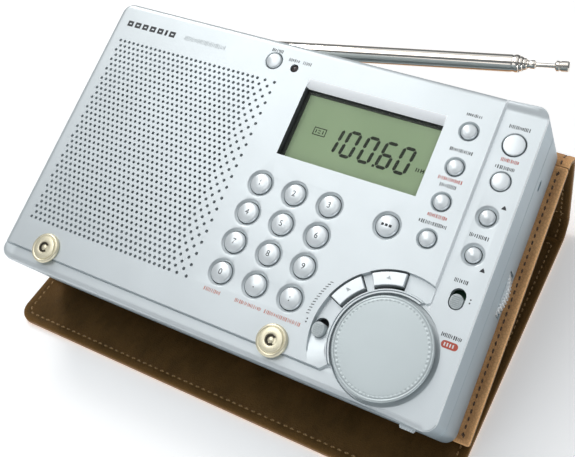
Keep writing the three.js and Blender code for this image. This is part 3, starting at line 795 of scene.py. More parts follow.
# ---------------------------------------------------------------- front cover
def face_holes():
    x0, y0, x1, y1 = OPENING
    holes = [[(x0, y0), (x1, y0), (x1, y1), (x0, y1)]]
    holes.append(circle(LAMP_X, LAMP_Y, LAMP_HOLE, 20))
    holes.append(circle(KNOB_X, KNOB_Y, KNOB_SHAFT_HOLE, 24))
    holes += [circle(button.x, button.y, button.hole, round_steps(button)) for button in BUTTONS]
    for name, size in SLIDER_SLOTS.items():
        x, y, _ = centre(name)
        holes.append(capsule(x, y + travel("key_lock_slide") / 2, *size))
    for start, end in ARC_BUTTONS.values():
        start, end = start - ARC_HOLE_TURN, end + ARC_HOLE_TURN
        holes.append(ring_part(ARC_HOLE_IN, ARC_HOLE_OUT, start, end))
    return holes + [circle(*place, HOLE_RADIUS, 10) for place in grille_places() if is_open(place)]


def round_steps(button):
    """How many points a button's hole has: more round the larger ones."""
    return 36 if button.hole > 2.6 else 28


def face_loops():
    """The outline and the loops inside it where the face's surface bends."""
    loops = [OUTLINE, grown(OUTLINE, -RIM_WIDTH)]
    for angle in (18, 36, 54, 72, 90):
        loops.append(grown(OUTLINE, -EDGE_ROUND * (1 - math.cos(math.radians(angle)))))
    loops.append(grown(OUTLINE, -SHARP_EDGE))
    for button in BUTTONS:
        for share in (0.33, 0.67, 1.0):
            radius = button.hole + (button.well - button.hole) * share
            loops.append(circle(button.x, button.y, radius, round_steps(button)))
    for place in DIMPLES:
        loops += [circle(*place, HOLE_RADIUS + edge, 8) for edge in (HOLE_EDGE, -HOLE_EDGE)]
    return loops


def face_lines():
    """Open lines where the face's surface bends."""
    x0, _, x1, y1 = OPENING
    lines = [RAISED, grown(RAISED, RIGHT_RUN)]
    lines += [grown(RAISED, WALL_RUN + SEAM_WIDTH * i) for i in range(3)]
    notch = [COLLAR_GROOVE + NOTCH_HALF, COLLAR_GROOVE, COLLAR_GROOVE - NOTCH_HALF]
    for radius in (*notch, COLLAR_IN, COLLAR_IN - KNOB_WALL):
        lines.append(knob_arc(radius, 0, 360, 97))
    for radius in (COLLAR_OUT, COLLAR_OUT + WALL_RUN, CHANNEL_OUT - WALL_RUN, CHANNEL_OUT):
        lines.append(knob_arc(radius, CHANNEL_START, CHANNEL_FADE[1], 60))
    for angle in np.linspace(*CHANNEL_FADE, 7):
        lines.append([knob_point(radius, angle) for radius in (COLLAR_OUT, CHANNEL_OUT)])
    lines.append([(x0, y1), (x0, RAMP_TOP), (x1, RAMP_TOP), (x1, y1)])
    lines += [[(x, 0), (x, PLATE_BOTTOM)] for x in np.linspace(EDGE_ROUND, LEFT_FADE, 5)]
    for y in HEIGHT - np.linspace(EDGE_ROUND, TOP_FADE, 5):
        lines.append([(PLATE_RIGHT, y), (WIDTH, y)])
    lines += [[(x, y1), (x, RAMP_TOP)] for x in (x0 + RAMP_SIDE, x1 - RAMP_SIDE)]
    return lines + [[(x0, y), (x1, y)] for y in np.linspace(y1, RAMP_TOP, 8)[1:-1]]


FACE_LOOKS = [SILVER, DARK_INSIDE_AND_SHADE, GRILLE_SHADE, PAINTED_HIGHLIGHT_EDGE, SHADED_SILVER, PAINTED_LIGHT_RAMP]
CLOSE = 0.02


def face_look(corners, from_outline):
    """The material of one of the face's polygons."""
    x, y, z = corners.mean(0)
    tall = np.ptp(corners[:, 2])
    x0, y0, x1, y1 = OPENING
    # painted shade: the face's side walls take the darker copy of the silver
    if from_outline < CLOSE:
        return SHADED_SILVER
    # painted light: the ramp above the display takes the pale, faintly glowing lacquer
    if x0 < x < x1 and y1 < y < RAMP_TOP and z > -RAMP_DEPTH - 0.1:
        return PAINTED_LIGHT_RAMP
    # painted highlight: the plate's right slope and the face's crisp right edge take the pale copy of the silver
    on_slope = PLATE_RIGHT < x < PLATE_RIGHT + RIGHT_RUN and y > SLOPE_BOTTOM and z > -STEP - 0.3
    if on_slope or (x > WIDTH - SHARP_EDGE and z > -STEP - SHARP_EDGE):
        return PAINTED_HIGHLIGHT_EDGE
    # the walls of the display's opening are near-black, partly their own colour and partly painted shade
    outside_opening = max(x0 - x, x - x1, y0 - y, y - y1)
    if abs(outside_opening) < CLOSE and tall > 0.3:
        return DARK_INSIDE_AND_SHADE
    # painted shade: the floors of the blind dimples are dark grey
    if abs(z + DIMPLE_DEPTH) < CLOSE and tall < CLOSE and x < SPEAKER_RIGHT:
        return GRILLE_SHADE
    return SILVER


def front_plate():
    points, triangles = flat_mesh(face_loops(), face_holes(), face_lines())
    height = face_height(points)
    height[near_any(points, DIMPLES, HOLE_RADIUS)] -= DIMPLE_DEPTH
    shape = sheet(layer(points, height), layer(points, PLATE_BACK), triangles)
    corners = [np.array([shape.points[i] for i in face]) for face in shape.faces]
    from_outline = distance([polygon.mean(0)[:2] for polygon in corners], OUTLINE)
    shape.looks = [FACE_LOOKS.index(face_look(*both)) for both in zip(corners, from_outline)]
    return shape


LIP_GAP = 0.12  # between the two shells
SWITCH_SHOULDER = 1  # the range switch's foot is this much longer than its knob, at each end
SWITCH_GAP = 0.3
SWITCH_SLOT = (-8.3, -4.7)  # back and front of the range switch's slot
STRAP_SLOTS = (8.6, 11.0)  # left sides of the two small slots at the bottom left
STRAP_SLOT = (-8.0, -5.5)


def rim_shape(low, high):
    """A closed ring under the outline, from one level to another."""
    inner = grown(OUTLINE, -RIM_WIDTH)
    levels = ((OUTLINE, low), (OUTLINE, high), (inner, high), (inner, low))
    return loft([at_level(loop, z) for loop, z in levels], closed=True)


def build_front_cover():
    shape = rim_shape(PART_LINE + LIP_GAP, PLATE_BACK)
    rim = make_piece("front_rim", shape, FACE, [SHADED_SILVER], weighted=False)
    low, high = face_box("range_switch")
    left, right = low[0] + SWITCH_SHOULDER, high[0] - SWITCH_SHOULDER + travel("range_switch_slide")
    slot = rounded_rect(left - SWITCH_GAP, -2, right + SWITCH_GAP, 4, 0.2, 3)
    cut_away(rim, prism(slot, *SWITCH_SLOT))
    for x in STRAP_SLOTS:
        cut_away(rim, prism(rounded_rect(x, -1, x + 1.5, 1.2, 0.2, 3), *STRAP_SLOT))
    plate = make_piece("front_shell", front_plate(), FACE, FACE_LOOKS, weighted=False)
    with bpy.context.temp_override(active_object=plate, selected_editable_objects=[plate, rim]):
        bpy.ops.object.join()
    smooth(plate)
    hand_over(plate, "radio", "silver_body", ["front_cover"])


# ---------------------------------------------------------------- keys, buttons and switches
CAP_FOOT = PLATE_BACK - 0.6  # caps reach this far in
FIGURES = dict(zip(KEYPAD, "1234567890.:"))
FIGURE_HEIGHT = 1.7
POINT_HEIGHT = 2.0
ARC_TOP = -0.08
RIDGE_PITCH = 0.5


def flat_at(level):
    """A level surface."""
    return lambda points: np.full(len(points), level)


def level_of(button):
    """The level of the face round a button, without the button's own well."""
    return 0.0 if inside([(button.x, button.y)], RAISED)[0] else -STEP


def cap_surface(button):
    """The height of a round button's cap, as a function of the points."""

    def top(points):
        away = np.hypot(points[:, 0] - button.x, points[:, 1] - button.y)
        share = np.minimum(away / (button.radius - button.edge), 1)
        return level_of(button) + button.height + button.crown * (1 - share**2)

    return top


def build_buttons():
    for button in BUTTONS:
        name, x, y, radius = button[:4]
        top = cap_surface(button)
        level = level_of(button) + button.height
        shape = turned(x, y, round_profile(radius, CAP_FOOT, level, button.edge, button.crown), 44)
        if name in FIGURES:
            size = FIGURE_HEIGHT if FIGURES[name].isdigit() else POINT_HEIGHT
            shape.join(figure(FIGURES[name], x, y, size, top), 1)
        elif name == "program_key":
            lefts = [x - 1.5 + i * 1.1 for i in range(3)]
            shape.join(bars([(left, y - 0.35, left + 0.75, y + 0.35) for left in lefts], top), 1)
        piece_for(name, shape, [KEY_SILVER, DARK_INK], "silver_key")


def build_arc_buttons():
    for name, (start, end) in ARC_BUTTONS.items():
        shape = prism(ring_part(ARC_IN, ARC_OUT, start, end), CAP_FOOT, ARC_TOP, 0.22)
        x, y = knob_point(ARC_MARK, (start + end) / 2)
        up = 1 if name == "tuning_up_button" else -1
        triangle = [(x - 0.75, y - 0.35 * up), (x + 0.75, y - 0.35 * up), (x, y + 0.55 * up)]
        shape.join(patch(triangle, flat_at(ARC_TOP)), 1)
        piece_for(name, shape, [KEY_SILVER, SLIDER_GREY], "silver_key")


def build_sliders():
    for name in SLIDER_SLOTS:
        x, y, _ = centre(name)
        level = face_box(name)[1][2]
        shape = prism(capsule(x, y, *SLIDER_CAP), CAP_FOOT, level, 0.25)
        for i in range(6):
            away = (i - 2.5) * RIDGE_PITCH
            half = 0.42 * SLIDER_CAP[0] * math.sqrt(1 - (away / 2.1) ** 2)
            ridge = rounded_rect(x - half, y + away - 0.13, x + half, y + away + 0.13, 0.1, 2)
            shape.join(prism(ridge, level - 0.1, level + 0.22, 0.08))
        piece_for(name, shape, [SLIDER_GREY], "grey_plastic")


# ---------------------------------------------------------------- tuning knob, studs and lamp
KNOB_DIMPLES = 64
KNOB_LOWER = 0.8  # the knob's top is this far below the CAD solid's
KNOB_EDGE = 0.4
KNOB_FOOT = -STEP + 0.25
KNOB_LEAN = 0.9
GROOVE_IN = 0.75
DIMPLE_RING_IN = 1.5


def knob_shape():
    low, high = face_box("tuning_knob")
    top = high[2] - KNOB_LOWER
    radius = (high[0] - low[0]) / 2
    groove = radius - GROOVE_IN
    radii = [radius - KNOB_EDGE * (1 - math.cos(math.radians(a))) for a in (0, 25, 50, 70, 90)]
    loops = [circle(KNOB_X, KNOB_Y, r, 96) for r in (*radii, groove + 0.15, groove, groove - 0.15)]
    loops += [circle(KNOB_X, KNOB_Y, r, 48) for r in (9.5, 6.5, 3.5, 1.2)]
    dimples = circle(KNOB_X, KNOB_Y, radius - DIMPLE_RING_IN, KNOB_DIMPLES)
    loops += [circle(x, y, 0.24, 8) for x, y in dimples]
    points, triangles = flat_mesh(loops, spots=dimples)
    away = np.hypot(points[:, 0] - KNOB_X, points[:, 1] - KNOB_Y)
    short = np.clip(KNOB_EDGE - (radius - away), 0, KNOB_EDGE)
    height = top - (KNOB_EDGE - np.sqrt(KNOB_EDGE**2 - short**2))
    height[abs(away - groove) < 0.05] = top - 0.08
    height[near_any(points, dimples, 0.05)] = top - 0.15
    leant = (KNOB_X, KNOB_Y) + (points - (KNOB_X, KNOB_Y)) * (1 - KNOB_LEAN / radius)
    return sheet(layer(points, height), layer(leant, KNOB_FOOT), triangles)


def build_knob():
    bottom = face_box("tuning_knob")[0][2]
    foot = -STEP + 0.3
    shaft = turned(KNOB_X, KNOB_Y, [(0, bottom), (3, bottom), (3, foot), (0, foot)], 32)
    piece_for("tuning_knob", knob_shape().join(shaft), [KNOB_SILVER], "silver_key", sharp=40)


STUD_PROFILE = [
    (0, -4.0), (1.4, -4.0), (1.4, 0.02), (4.3, 0.02), (4.42, 0.2), (4.42, 0.55), (4.3, 0.88),
    (4.05, 1.08), (3.8, 1.12), (3.6, 1.02), (3.5, 1.0), (3.42, 1.06), (3.36, 1.24), (3.25, 1.36),
    (3.0, 1.42), (2.3, 1.45), (1.75, 1.48), (1.62, 1.44), (1.52, 1.3), (1.5, 1.14), (0.85, 1.14),
    (0.8, 1.26), (0.6, 1.34), (0, 1.38),
]
SPRING_RADIUS = 1.18
SPRING_WIRE = 0.27
SPRING_LEVEL = 1.36


def stud_spring(x, y):
    """The open wire ring in a stud's socket, drawn near-black as painted shade in the socket."""
    loops = []
    for angle in np.radians(np.linspace(48, 318, 22)):
        loop = []
        for k in range(6):
            away = SPRING_RADIUS + SPRING_WIRE * math.cos(TURN * k / 6)
            level = SPRING_LEVEL - SPRING_WIRE * math.sin(TURN * k / 6)
            loop.append((x + away * math.cos(angle), y + away * math.sin(angle), level))
        loops.append(loop)
    return loft(loops)


def build_studs():
    for name in ("snap_stud_1", "snap_stud_2"):
        x, y, _ = centre(name)
        shape = turned(x, y, STUD_PROFILE, 48).join(stud_spring(x, y), 1)
        piece_for(name, shape, [GILT, SPRING_SHADE], "stud_metal")


def build_lamp():
    low, high = face_box("signal_lamp")
    profile = round_profile((high[0] - low[0]) / 2, low[2], -0.45, 0.3, 0.25)
    piece_for("signal_lamp", turned(LAMP_X, LAMP_Y, profile, 28), [LAMP_DARK], "dark_plastic")


# ---------------------------------------------------------------- display
# Each figure's bars: a top, b and c right, d bottom, e and f left, g middle.
SEGMENTS = {"0": "abcdef", "1": "bc", "6": "acdefg"}
DIGITS = [("1", 81.9), ("0", 87.2), ("0", 92.9), ("6", 98.5), ("0", 103.8)]
DIGIT_WIDTH, DIGIT_HEIGHT = 4.1, 8.4
DIGIT_FOOT = 60.0
DIGIT_LEAN = 0.13
BAR_HALF = 0.48
BAR_GAP = 0.1
DECIMAL_POINT = [(98.0, 60.0), (98.75, 60.0), (98.75, 60.75), (98.0, 60.75)]
SMALL_MARKS = [
    (110.3, 62.2, 110.6, 63.3), (110.95, 62.2, 111.25, 63.3), (111.7, 62.2, 112.0, 63.3),
    (112.0, 62.65, 112.35, 62.9), (112.4, 62.2, 112.7, 63.3), (113.0, 62.2, 113.3, 63.3),
    (77.6, 64.1, 81.6, 64.35), (77.6, 66.25, 81.6, 66.5), (77.6, 64.35, 77.85, 66.25),
    (81.35, 64.35, 81.6, 66.25), (78.3, 64.8, 78.6, 65.8), (79.1, 64.8, 79.9, 65.05),
    (79.1, 65.5, 79.9, 65.75), (80.5, 64.8, 80.8, 65.8),
]
SHADE_STRIP_WIDE = 0.85  # painted shade: a dark strip along the display's left and top, where shadow falls
SHADE_STRIP_NARROW = 0.12


def pointed_bar(start, end):
    """A bar with a point at each end."""
    start, end = np.array(start), np.array(end)
    along = unit(end - start) * BAR_HALF
    aside = np.array([along[1], -along[0]])
    lower = [start, start + along + aside, end - along + aside]
    return lower + [end, end - along - aside, start + along - aside]


def segment_loops(x, figure_name):
    left, right = x + BAR_HALF, x + DIGIT_WIDTH - BAR_HALF
    foot, middle, head = DIGIT_FOOT, DIGIT_FOOT + DIGIT_HEIGHT / 2, DIGIT_FOOT + DIGIT_HEIGHT
    end = BAR_HALF + BAR_GAP
    ends = {"a": head - BAR_HALF, "g": middle, "d": foot + BAR_HALF}
    ends = {name: ((left + BAR_GAP, y), (right - BAR_GAP, y)) for name, y in ends.items()}
    for upper, lower, side in (("b", "c", right), ("f", "e", left)):
        ends[upper] = ((side, middle + BAR_GAP), (side, head - end))
        ends[lower] = ((side, foot + end), (side, middle - BAR_GAP))
    return [pointed_bar(*ends[name]) for name in SEGMENTS[figure_name]]


def display_marks(top):
    shape = Shape()
    loops = [loop for name, x in DIGITS for loop in segment_loops(x, name)]
    for loop in [*loops, DECIMAL_POINT]:
        shape.join(patch([(x + (y - DIGIT_FOOT) * DIGIT_LEAN, y) for x, y in loop], top))
    return shape.join(bars(SMALL_MARKS, top))


def panel_block(node, radius):
    low, high = face_box(node)
    return prism(rounded_rect(*low[:2], *high[:2], radius, 3), low[2], high[2], 0.05)


def build_display():
    pane = panel_block("display_window", 0.15)
    for index, face in enumerate(pane.faces):
        if np.ptp([pane.points[i][2] for i in face]) > 0.02:
            pane.looks[index] = 1  # the pane's cut edge is black
    piece_for("display_window", pane, [WINDOW, DARK_INSIDE_AND_SHADE], "clear_window")
    panel = panel_block("display_panel", 0.3)
    top = face_box("display_panel")[1][2]
    panel.join(display_marks(flat_at(top)), 1)
    x0, y0, x1, y1 = OPENING
    # dark strips over the panel's edges, wide at the left and top: painted shade of the opening's walls
    shade_strips = [(x0, x0 + SHADE_STRIP_WIDE, y0, y1), (x1 - SHADE_STRIP_NARROW, x1, y0, y1)]
    shade_strips += [(x0, x1, y0, y0 + SHADE_STRIP_NARROW), (x0, x1, y1 - SHADE_STRIP_WIDE, y1)]
    for strip in shade_strips:
        panel.join(block(*strip, top - 0.1, top + 0.35), 2)
    piece_for("display_panel", panel, [REFLECTOR, SEGMENT, DARK_INSIDE_AND_SHADE], "display_green")


# ---------------------------------------------------------------- printed marks
# Words are left out: each stands as a row of small generic ticks, (left, right, height of its middle).
TICK_ROWS = {
    DARK_INK: [
        (118.9, 123.4, 80.7), (118.0, 124.4, 70.2), (119.0, 123.6, 60.0), (117.3, 125.0, 49.2),
        (130.6, 136.2, 80.9), (130.8, 136.2, 69.3), (130.9, 136.2, 49.9), (131.4, 135.3, 37.6),
        (133.2, 138.6, 23.7), (56.4, 60.2, 84.6), (62.9, 66.4, 82.9), (67.6, 70.2, 82.9),
    ],
    RED_INK: [(117.9, 124.6, 61.8), (118.9, 124.1, 51.4), (131.6, 136.2, 71.5)],
    PINK_INK: [(68.0, 73.2, 12.9), (78.0, 86.2, 12.9), (87.2, 98.2, 12.9)],
}
DOTS = [(137.1, 33.9), (137.1, 33.0), (99.2, 15.2), (99.2, 14.3)]
BELLS = [(136.9, 59.0), (137.3, 41.9)]
SCALE_RADIUS = 22.3
PILL = (133.9, 20.6, 138.3, 22.5)
PILL_BARS = [(x, 21.1, x + 0.35, 22.0) for x in (134.6, 135.35, 136.1, 136.85)]
BADGE_LEFT, BADGE_BOTTOM = 4.6, 80.1
BADGE_WIDTHS = (2.0, 2.1, 2.0, 2.1, 2.0, 0.8, 2.1)
BADGE_HEIGHT = 1.85
BADGE_GAP = 0.85
BADGE_BAR, BADGE_POST = 0.7, 0.6  # thickness of the squares' level and upright sides
LONG_ROW = (26.4, 41.4, 81.1, 1.5)  # the pale row beside the badge


def tick_row(left, right, middle, height=1.05):
    """A row of upright ticks of slightly different widths and heights."""
    rectangles = []
    x = left
    while x < right:
        width = random.choice((0.18, 0.22, 0.3))
        half = height / 2 * random.choice((0.72, 1.0, 1.0))
        rectangles.append((x, middle - half, x + width, middle + half))
        x += width + random.choice((0.2, 0.24, 0.36))
    return rectangles


def badge():
    """A row of hollow squares."""
    rectangles = []
    x, low, high = BADGE_LEFT, BADGE_BOTTOM, BADGE_BOTTOM + BADGE_HEIGHT
    inner_low, inner_high = low + BADGE_BAR, high - BADGE_BAR
    for width in BADGE_WIDTHS:
        right = x + width
        rectangles += [(x, low, right, inner_low), (x, inner_high, right, high)]
        for left in (x, right - BADGE_POST):
            rectangles.append((left, inner_low, left + BADGE_POST, inner_high))
        x = right + BADGE_GAP
    return bars(rectangles, face_height)


def build_marks():
    inks = list(TICK_ROWS)
    shape = Shape()
    for look, rows in enumerate(TICK_ROWS.values()):
        for row in rows:
            shape.join(bars(tick_row(*row), face_height), look)
    loops = []
    for x, y in knob_arc(SCALE_RADIUS, 176, 150, 13):
        loops.append([(x - 0.45, y - 0.18), (x + 0.4, y - 0.05), (x + 0.4, y + 0.15), (x - 0.45, y + 0.02)])
    loops += [circle(x, y, 0.22, 8) for x, y in DOTS]
    for x, y in BELLS:
        foot = [(x - 0.7, y - 0.5), (x + 0.7, y - 0.5)]
        loops.append(foot + [(x + 0.4, y + 0.1), (x, y + 0.6), (x - 0.4, y + 0.1)])
    for loop in loops:
        shape.join(patch(loop, face_height))
    shape.join(patch(rounded_rect(*PILL, 0.9, 5), face_height), inks.index(RED_INK))
    shape.join(bars(PILL_BARS, lambda points: face_height(points) + MARK_HALF), len(inks))
    shape.join(badge())
    shape.join(bars(tick_row(*LONG_ROW), face_height), len(inks) + 1)
    materials = [*inks, WHITE_INK, SLIDER_GREY]
    make_piece("printed_marks", shape, FACE, materials, "radio", "dark_plastic", weighted=False)


# ---------------------------------------------------------------- rear cover, door, wheel and switch
BACK_ROUND = 2.2
WALL = 2.0
HOLLOW_TOP, HOLLOW_BACK = 80.3, 3.7
DOOR_GAP, DOOR_DEPTH = 0.2, 1.6
CELL_GAP, CELL_DEPTH = 0.7, 6
WHEEL_GAP = 0.4
SCREW_HOLE, SCREW_DEPTH = 1.7, 3
DOOR_GROOVES = 6
DOOR_GROOVE_PITCH = 1.8
SWITCH_RIDGES = 5
SWITCH_RIDGE_PITCH = 0.72
JACKS = [(62.0, 1.8), (50.0, 2.8)]  # place up the side and radius
JACK_Z = -20.0
WHEEL_X, WHEEL_Y, _ = centre("volume_wheel")
WHEEL_BACK = face_box("volume_wheel")[0][2]
WHEEL_FRONT = WHEEL_BACK + 5
WHEEL_RADIUS = np.ptp([corner[0] for corner in face_box("volume_wheel")]) / 2
WHEEL_TEETH = 84
GROOVE_HALF = 3.3
GROOVE_END = 138.8
GROOVE_FLOOR = 82
SIDE_SLOT = (70.9, -18.6, 74.3, -16.8)


def back_outline(inset):
    corner = max(0.2, OUTLINE_CORNER - inset)
    return rounded_rect(inset, inset, WIDTH - inset, HEIGHT - inset, corner, 12)


def rear_solid():
    loops = []
    for angle in np.radians((90, 78, 66, 54, 42, 30, 15, 0)):
        inset = BACK_ROUND * (1 - math.cos(angle)) * 0.97
        loops.append(at_level(back_outline(inset), BACK + BACK_ROUND * (1 - math.sin(angle))))
    loops.append(at_level(back_outline(0), PART_LINE - 0.25))
    return loft([*loops, at_level(back_outline(0.25), PART_LINE)])


def rear_cutters():
    """The hollow, the door's recess, the cells' bay, the wheel's slot, the groove and the screws."""
    low, high = face_box("battery_door")
    right = high[0] + travel("battery_door_slide")
    cell_low, cell_high = face_box("battery_cell_1")[0], face_box("battery_cell_3")[1]
    mast = centre("antenna_pin")[2]
    wheel = circle(WHEEL_X, WHEEL_Y, WHEEL_RADIUS + 0.5, 64)
    door = (low[0] - DOOR_GAP, right + DOOR_GAP, low[1] - DOOR_GAP, high[1] + DOOR_GAP)
    cells = (cell_low[0] - CELL_GAP, cell_high[0] + CELL_GAP, cell_low[1], cell_high[1])
    cutters = [
        block(WALL, WIDTH - WALL, WALL, HOLLOW_TOP, BACK + HOLLOW_BACK, PART_LINE + 1),
        block(*door, BACK - 1, BACK + DOOR_DEPTH),
        block(*cells, BACK, BACK + CELL_DEPTH),
        prism(wheel, WHEEL_BACK - WHEEL_GAP, WHEEL_FRONT + WHEEL_GAP),
        block(-5, GROOVE_END, GROOVE_FLOOR, HEIGHT + 4, mast - GROOVE_HALF, mast + GROOVE_HALF),
    ]
    for name in ("cover_screw_1", "cover_screw_2"):
        hole = circle(*centre(name)[:2], SCREW_HOLE, 24)
        cutters.append(prism(hole, BACK - 1, BACK + SCREW_DEPTH))
    return cutters


def build_rear_cover():
    rear = make_piece("rear_shell", rear_solid(), FACE, [SHADED_SILVER], "radio", "silver_body", ["rear_cover"])
    for cutter in rear_cutters():
        cut_away(rear, cutter)
    for y, radius in JACKS:
        cut_away(rear, prism(circle(y, JACK_Z, radius + 0.3), -1, 1.5), SIDE)
    cut_away(rear, prism(rounded_rect(*SIDE_SLOT, 0.8, 5), WIDTH - 0.8, WIDTH + 2), SIDE)
    smooth(rear)


def build_jacks():
    """Each socket's plated collar and its dark inside."""
    shape = Shape()
    for y, radius in JACKS:
        collar = [(0, 1.45), (radius * 0.55, 1.45), (radius * 0.6, 0.25), (radius * 0.95, 0.12)]
        collar += [(radius + 0.2, 0.3), (radius + 0.25, 1.49), (0, 1.49)]
        shape.join(turned(y, JACK_Z, collar, 32))
        bore = radius * 0.58
        shape.join(turned(y, JACK_Z, [(0, 1.2), (bore, 1.2), (bore, 1.44), (0, 1.44)], 24), 1)
    make_piece("side_jacks", shape, SIDE, [STEEL, DARK_INSIDE_AND_SHADE], "radio", "dark_plastic")


def build_door():
    low, high = face_box("battery_door")
    shape = prism(rounded_rect(*low[:2], *high[:2], 1.0, 5), low[2], high[2], 0.15, 0.25)
    door = piece_for("battery_door", shape, [SHADED_SILVER], "silver_body")
    middle = (low[1] + high[1]) / 2
    for x in low[0] + 4 + DOOR_GROOVE_PITCH * np.arange(DOOR_GROOVES):
        groove = rounded_rect(x, middle - 7, x + 0.9, middle + 7, 0.4, 4)
        cut_away(door, prism(groove, low[2] - 1, low[2] + 0.5))
    smooth(door)


def build_wheel():
    loop = []
    for tooth in range(WHEEL_TEETH):
        for share, inset in ((0.0, 0.45), (0.22, 0.0), (0.62, 0.0), (0.84, 0.45)):
            angle = 360 * (tooth + share) / WHEEL_TEETH
            loop += arc(WHEEL_X, WHEEL_Y, WHEEL_RADIUS - inset, angle, angle, 1)
    shape = prism(loop, WHEEL_BACK, WHEEL_FRONT, 0.3, 0.3)
    foot, head = WHEEL_FRONT - 0.1, face_box("volume_wheel")[1][2]
    shape.join(turned(WHEEL_X, WHEEL_Y, [(0, foot), (3, foot), (3, head), (0, head)], 24))
    piece_for("volume_wheel", shape, [KEY_SILVER], "grey_plastic", weighted=False)


def build_range_switch():
    low, high = face_box("range_switch")
    left, right = low[0] + SWITCH_SHOULDER, high[0] - SWITCH_SHOULDER
    back, front = low[2] + 0.8, high[2] - 0.8
    shape = block(low[0], high[0], high[1] - 1.0, high[1], low[2], high[2])
    shape.join(block(left, right, low[1] + 0.35, high[1] - 0.9, back, front))
    for x in left + 0.15 + SWITCH_RIDGE_PITCH * np.arange(SWITCH_RIDGES):
        shape.join(block(x, x + SWITCH_RIDGE_PITCH / 2, low[1], low[1] + 0.5, back + 0.15, front - 0.15))
    piece_for("range_switch", shape, [KEY_SILVER], "grey_plastic")


# ---------------------------------------------------------------- telescopic antenna
ANTENNA_ALONG = Vector(JOINTS["antenna_section_2_slide"]["axis"]).normalized()
ANTENNA_PIVOT = Vector(JOINTS["antenna_raise"]["pos_m"])
ANTENNA = frame_matrix((OUT.cross(ANTENNA_ALONG), OUT, ANTENNA_ALONG), ANTENNA_PIVOT)
MAST = ("antenna_mast", 1.2, 117.6, 2.7, 2.42)  # foot, open end, radius and bore
SECTIONS = [
    ("antenna_section_2", 8.0, 118.7, 2.25, 1.95),
    ("antenna_section_3", 11.0, 119.8, 1.8, 1.45),
    ("antenna_section_4", 14.0, 122.3, 1.3, 0.85),
]
EYE_LEVELS = [(2.4, -2.05), (2.7, -1.8), (2.7, 1.8), (2.4, 2.05)]
TIP_PROFILE = [
    (0, 23), (0.65, 23), (0.65, 127.9), (1.35, 127.9), (1.6, 128.2), (1.6, 129.0), (1.45, 129.15),
    (1.45, 129.45), (1.6, 129.6), (1.6, 131.5), (1.3, 131.9), (0, 132),
]


def tube_profile(start, end, radius, bore):
    """A tube closed at its foot, with a rolled rim at its open end."""
    return [
        (0, start), (radius, start), (radius, end - 2.2), (radius - 0.14, end - 1.9),
        (radius - 0.14, end - 1.6), (radius + 0.04, end - 1.25), (radius + 0.06, end - 0.5),
        (radius - 0.06, end - 0.12), (bore + 0.1, end), (bore, end - 0.2), (bore, start + 3), (0, start + 3),
    ]


def antenna_piece(name, profile, count=40):
    piece_for(name, turned(0, 0, profile, count), [CHROME], "chrome", matrix=ANTENNA)


def build_antenna():
    name, *sizes = MAST
    antenna_piece(name, tube_profile(*sizes), 48)
    eye = loft([at_level(circle(0, 0, radius, 40), z) for radius, z in EYE_LEVELS])
    eye_matrix = frame_matrix((RIGHT, UP, OUT), ANTENNA_PIVOT)
    make_piece("antenna_eye", eye, eye_matrix, [CHROME], "antenna_1", "chrome")
    for name, *sizes in SECTIONS:
        antenna_piece(name, tube_profile(*sizes))
    antenna_piece("antenna_tip", TIP_PROFILE)


# ---------------------------------------------------------------- leather cover
LEATHER_ROUND = 0.55
STITCH_INSET = 2.6
STITCH_PITCH = 2.15
STITCH_GROOVE = 0.22
GROOVE_SIDE = 0.6  # the stitching's groove has edges this far from its middle
CREASE_START = 2.4  # a crease piece takes over this far before its crease line
HALF = 1.1  # half the leather's thickness
FOLD_THINNING = 0.45  # the lining is pared away between two creases
FOLD_REACH = 3.5
FOLD_BEND = 1.9
BOARD_TUCK = 2.0  # the back board ends this far inside the radio's lower edge
FLAP_FLARE = 1.0  # the flap is a little wider and longer than the CAD solid
FLAP_CORNER = 5.0
BOARD_CORNER = 0.8
HATCH_GAP, HATCH_GAP_BELOW = 3, 2  # round the battery door's whole travel
HATCH_CORNER = 2.5
SPOT_PITCH = 6.0
STITCH_LENGTH = 1.55
STITCH_RADIUS = 0.27
SEAM_LEVEL = HALF - STITCH_GROOVE + 0.02  # where the threads lie

# The cover's side view: crease points in the plane across the row, (y, z) in millimetres.
FOLDS = ["rear_lower_fold", "rear_upper_fold", "foot_rear_fold", "foot_front_fold"]
CREASES = [np.array(JOINTS[name]["pos_m"][1:]) / MM for name in FOLDS]
_low, _high = turned_box("cover_flap", np.eye(3))
LEFT_SIDE, RIGHT_SIDE = _low[0], _high[0]
FLAP_END = _low[1]
EDGE_STEPS = [0.12, 0.3, LEATHER_ROUND]
SEAM_STEPS = [STITCH_INSET - GROOVE_SIDE, STITCH_INSET, STITCH_INSET + GROOVE_SIDE]


def leather_height(edge, seam_edge):
    """Half the leather's thickness at a distance from its nearest edge, where it is rounded, and from
    the edge that the stitching follows, where it has a groove."""
    short = np.clip(LEATHER_ROUND - edge, 0, None)
    rounding = LEATHER_ROUND - np.sqrt(np.clip(LEATHER_ROUND**2 - short**2, 0, None))
    return HALF - rounding - STITCH_GROOVE * dip(seam_edge - STITCH_INSET, 0.55)


def leather_piece(name, shape, edges, threads, looks, matrix, *roles):
    """A piece of the cover with its threads, one list for each side. Its rims are marked as worn."""
    rims = [*np.exp(-((np.array(edges) / 0.7) ** 2))] * 2
    for look, side in enumerate(threads, 3):
        for thread_shape in side:
            shape.join(thread_shape, look)
    rims += [0.0] * (len(shape.points) - len(rims))
    # stitches on the lining side take the darker thread as painted shade
    thread_looks = [SHADED_THREAD if look == LINING else THREAD for look in looks]
    materials = [*looks, CUT_EDGE, *thread_looks]
    piece = make_piece(name, shape, matrix, materials, *roles, sharp=50, weighted=False)
    piece.data.attributes.new("rim", "FLOAT", "POINT").data.foreach_set("value", rims)
    return piece


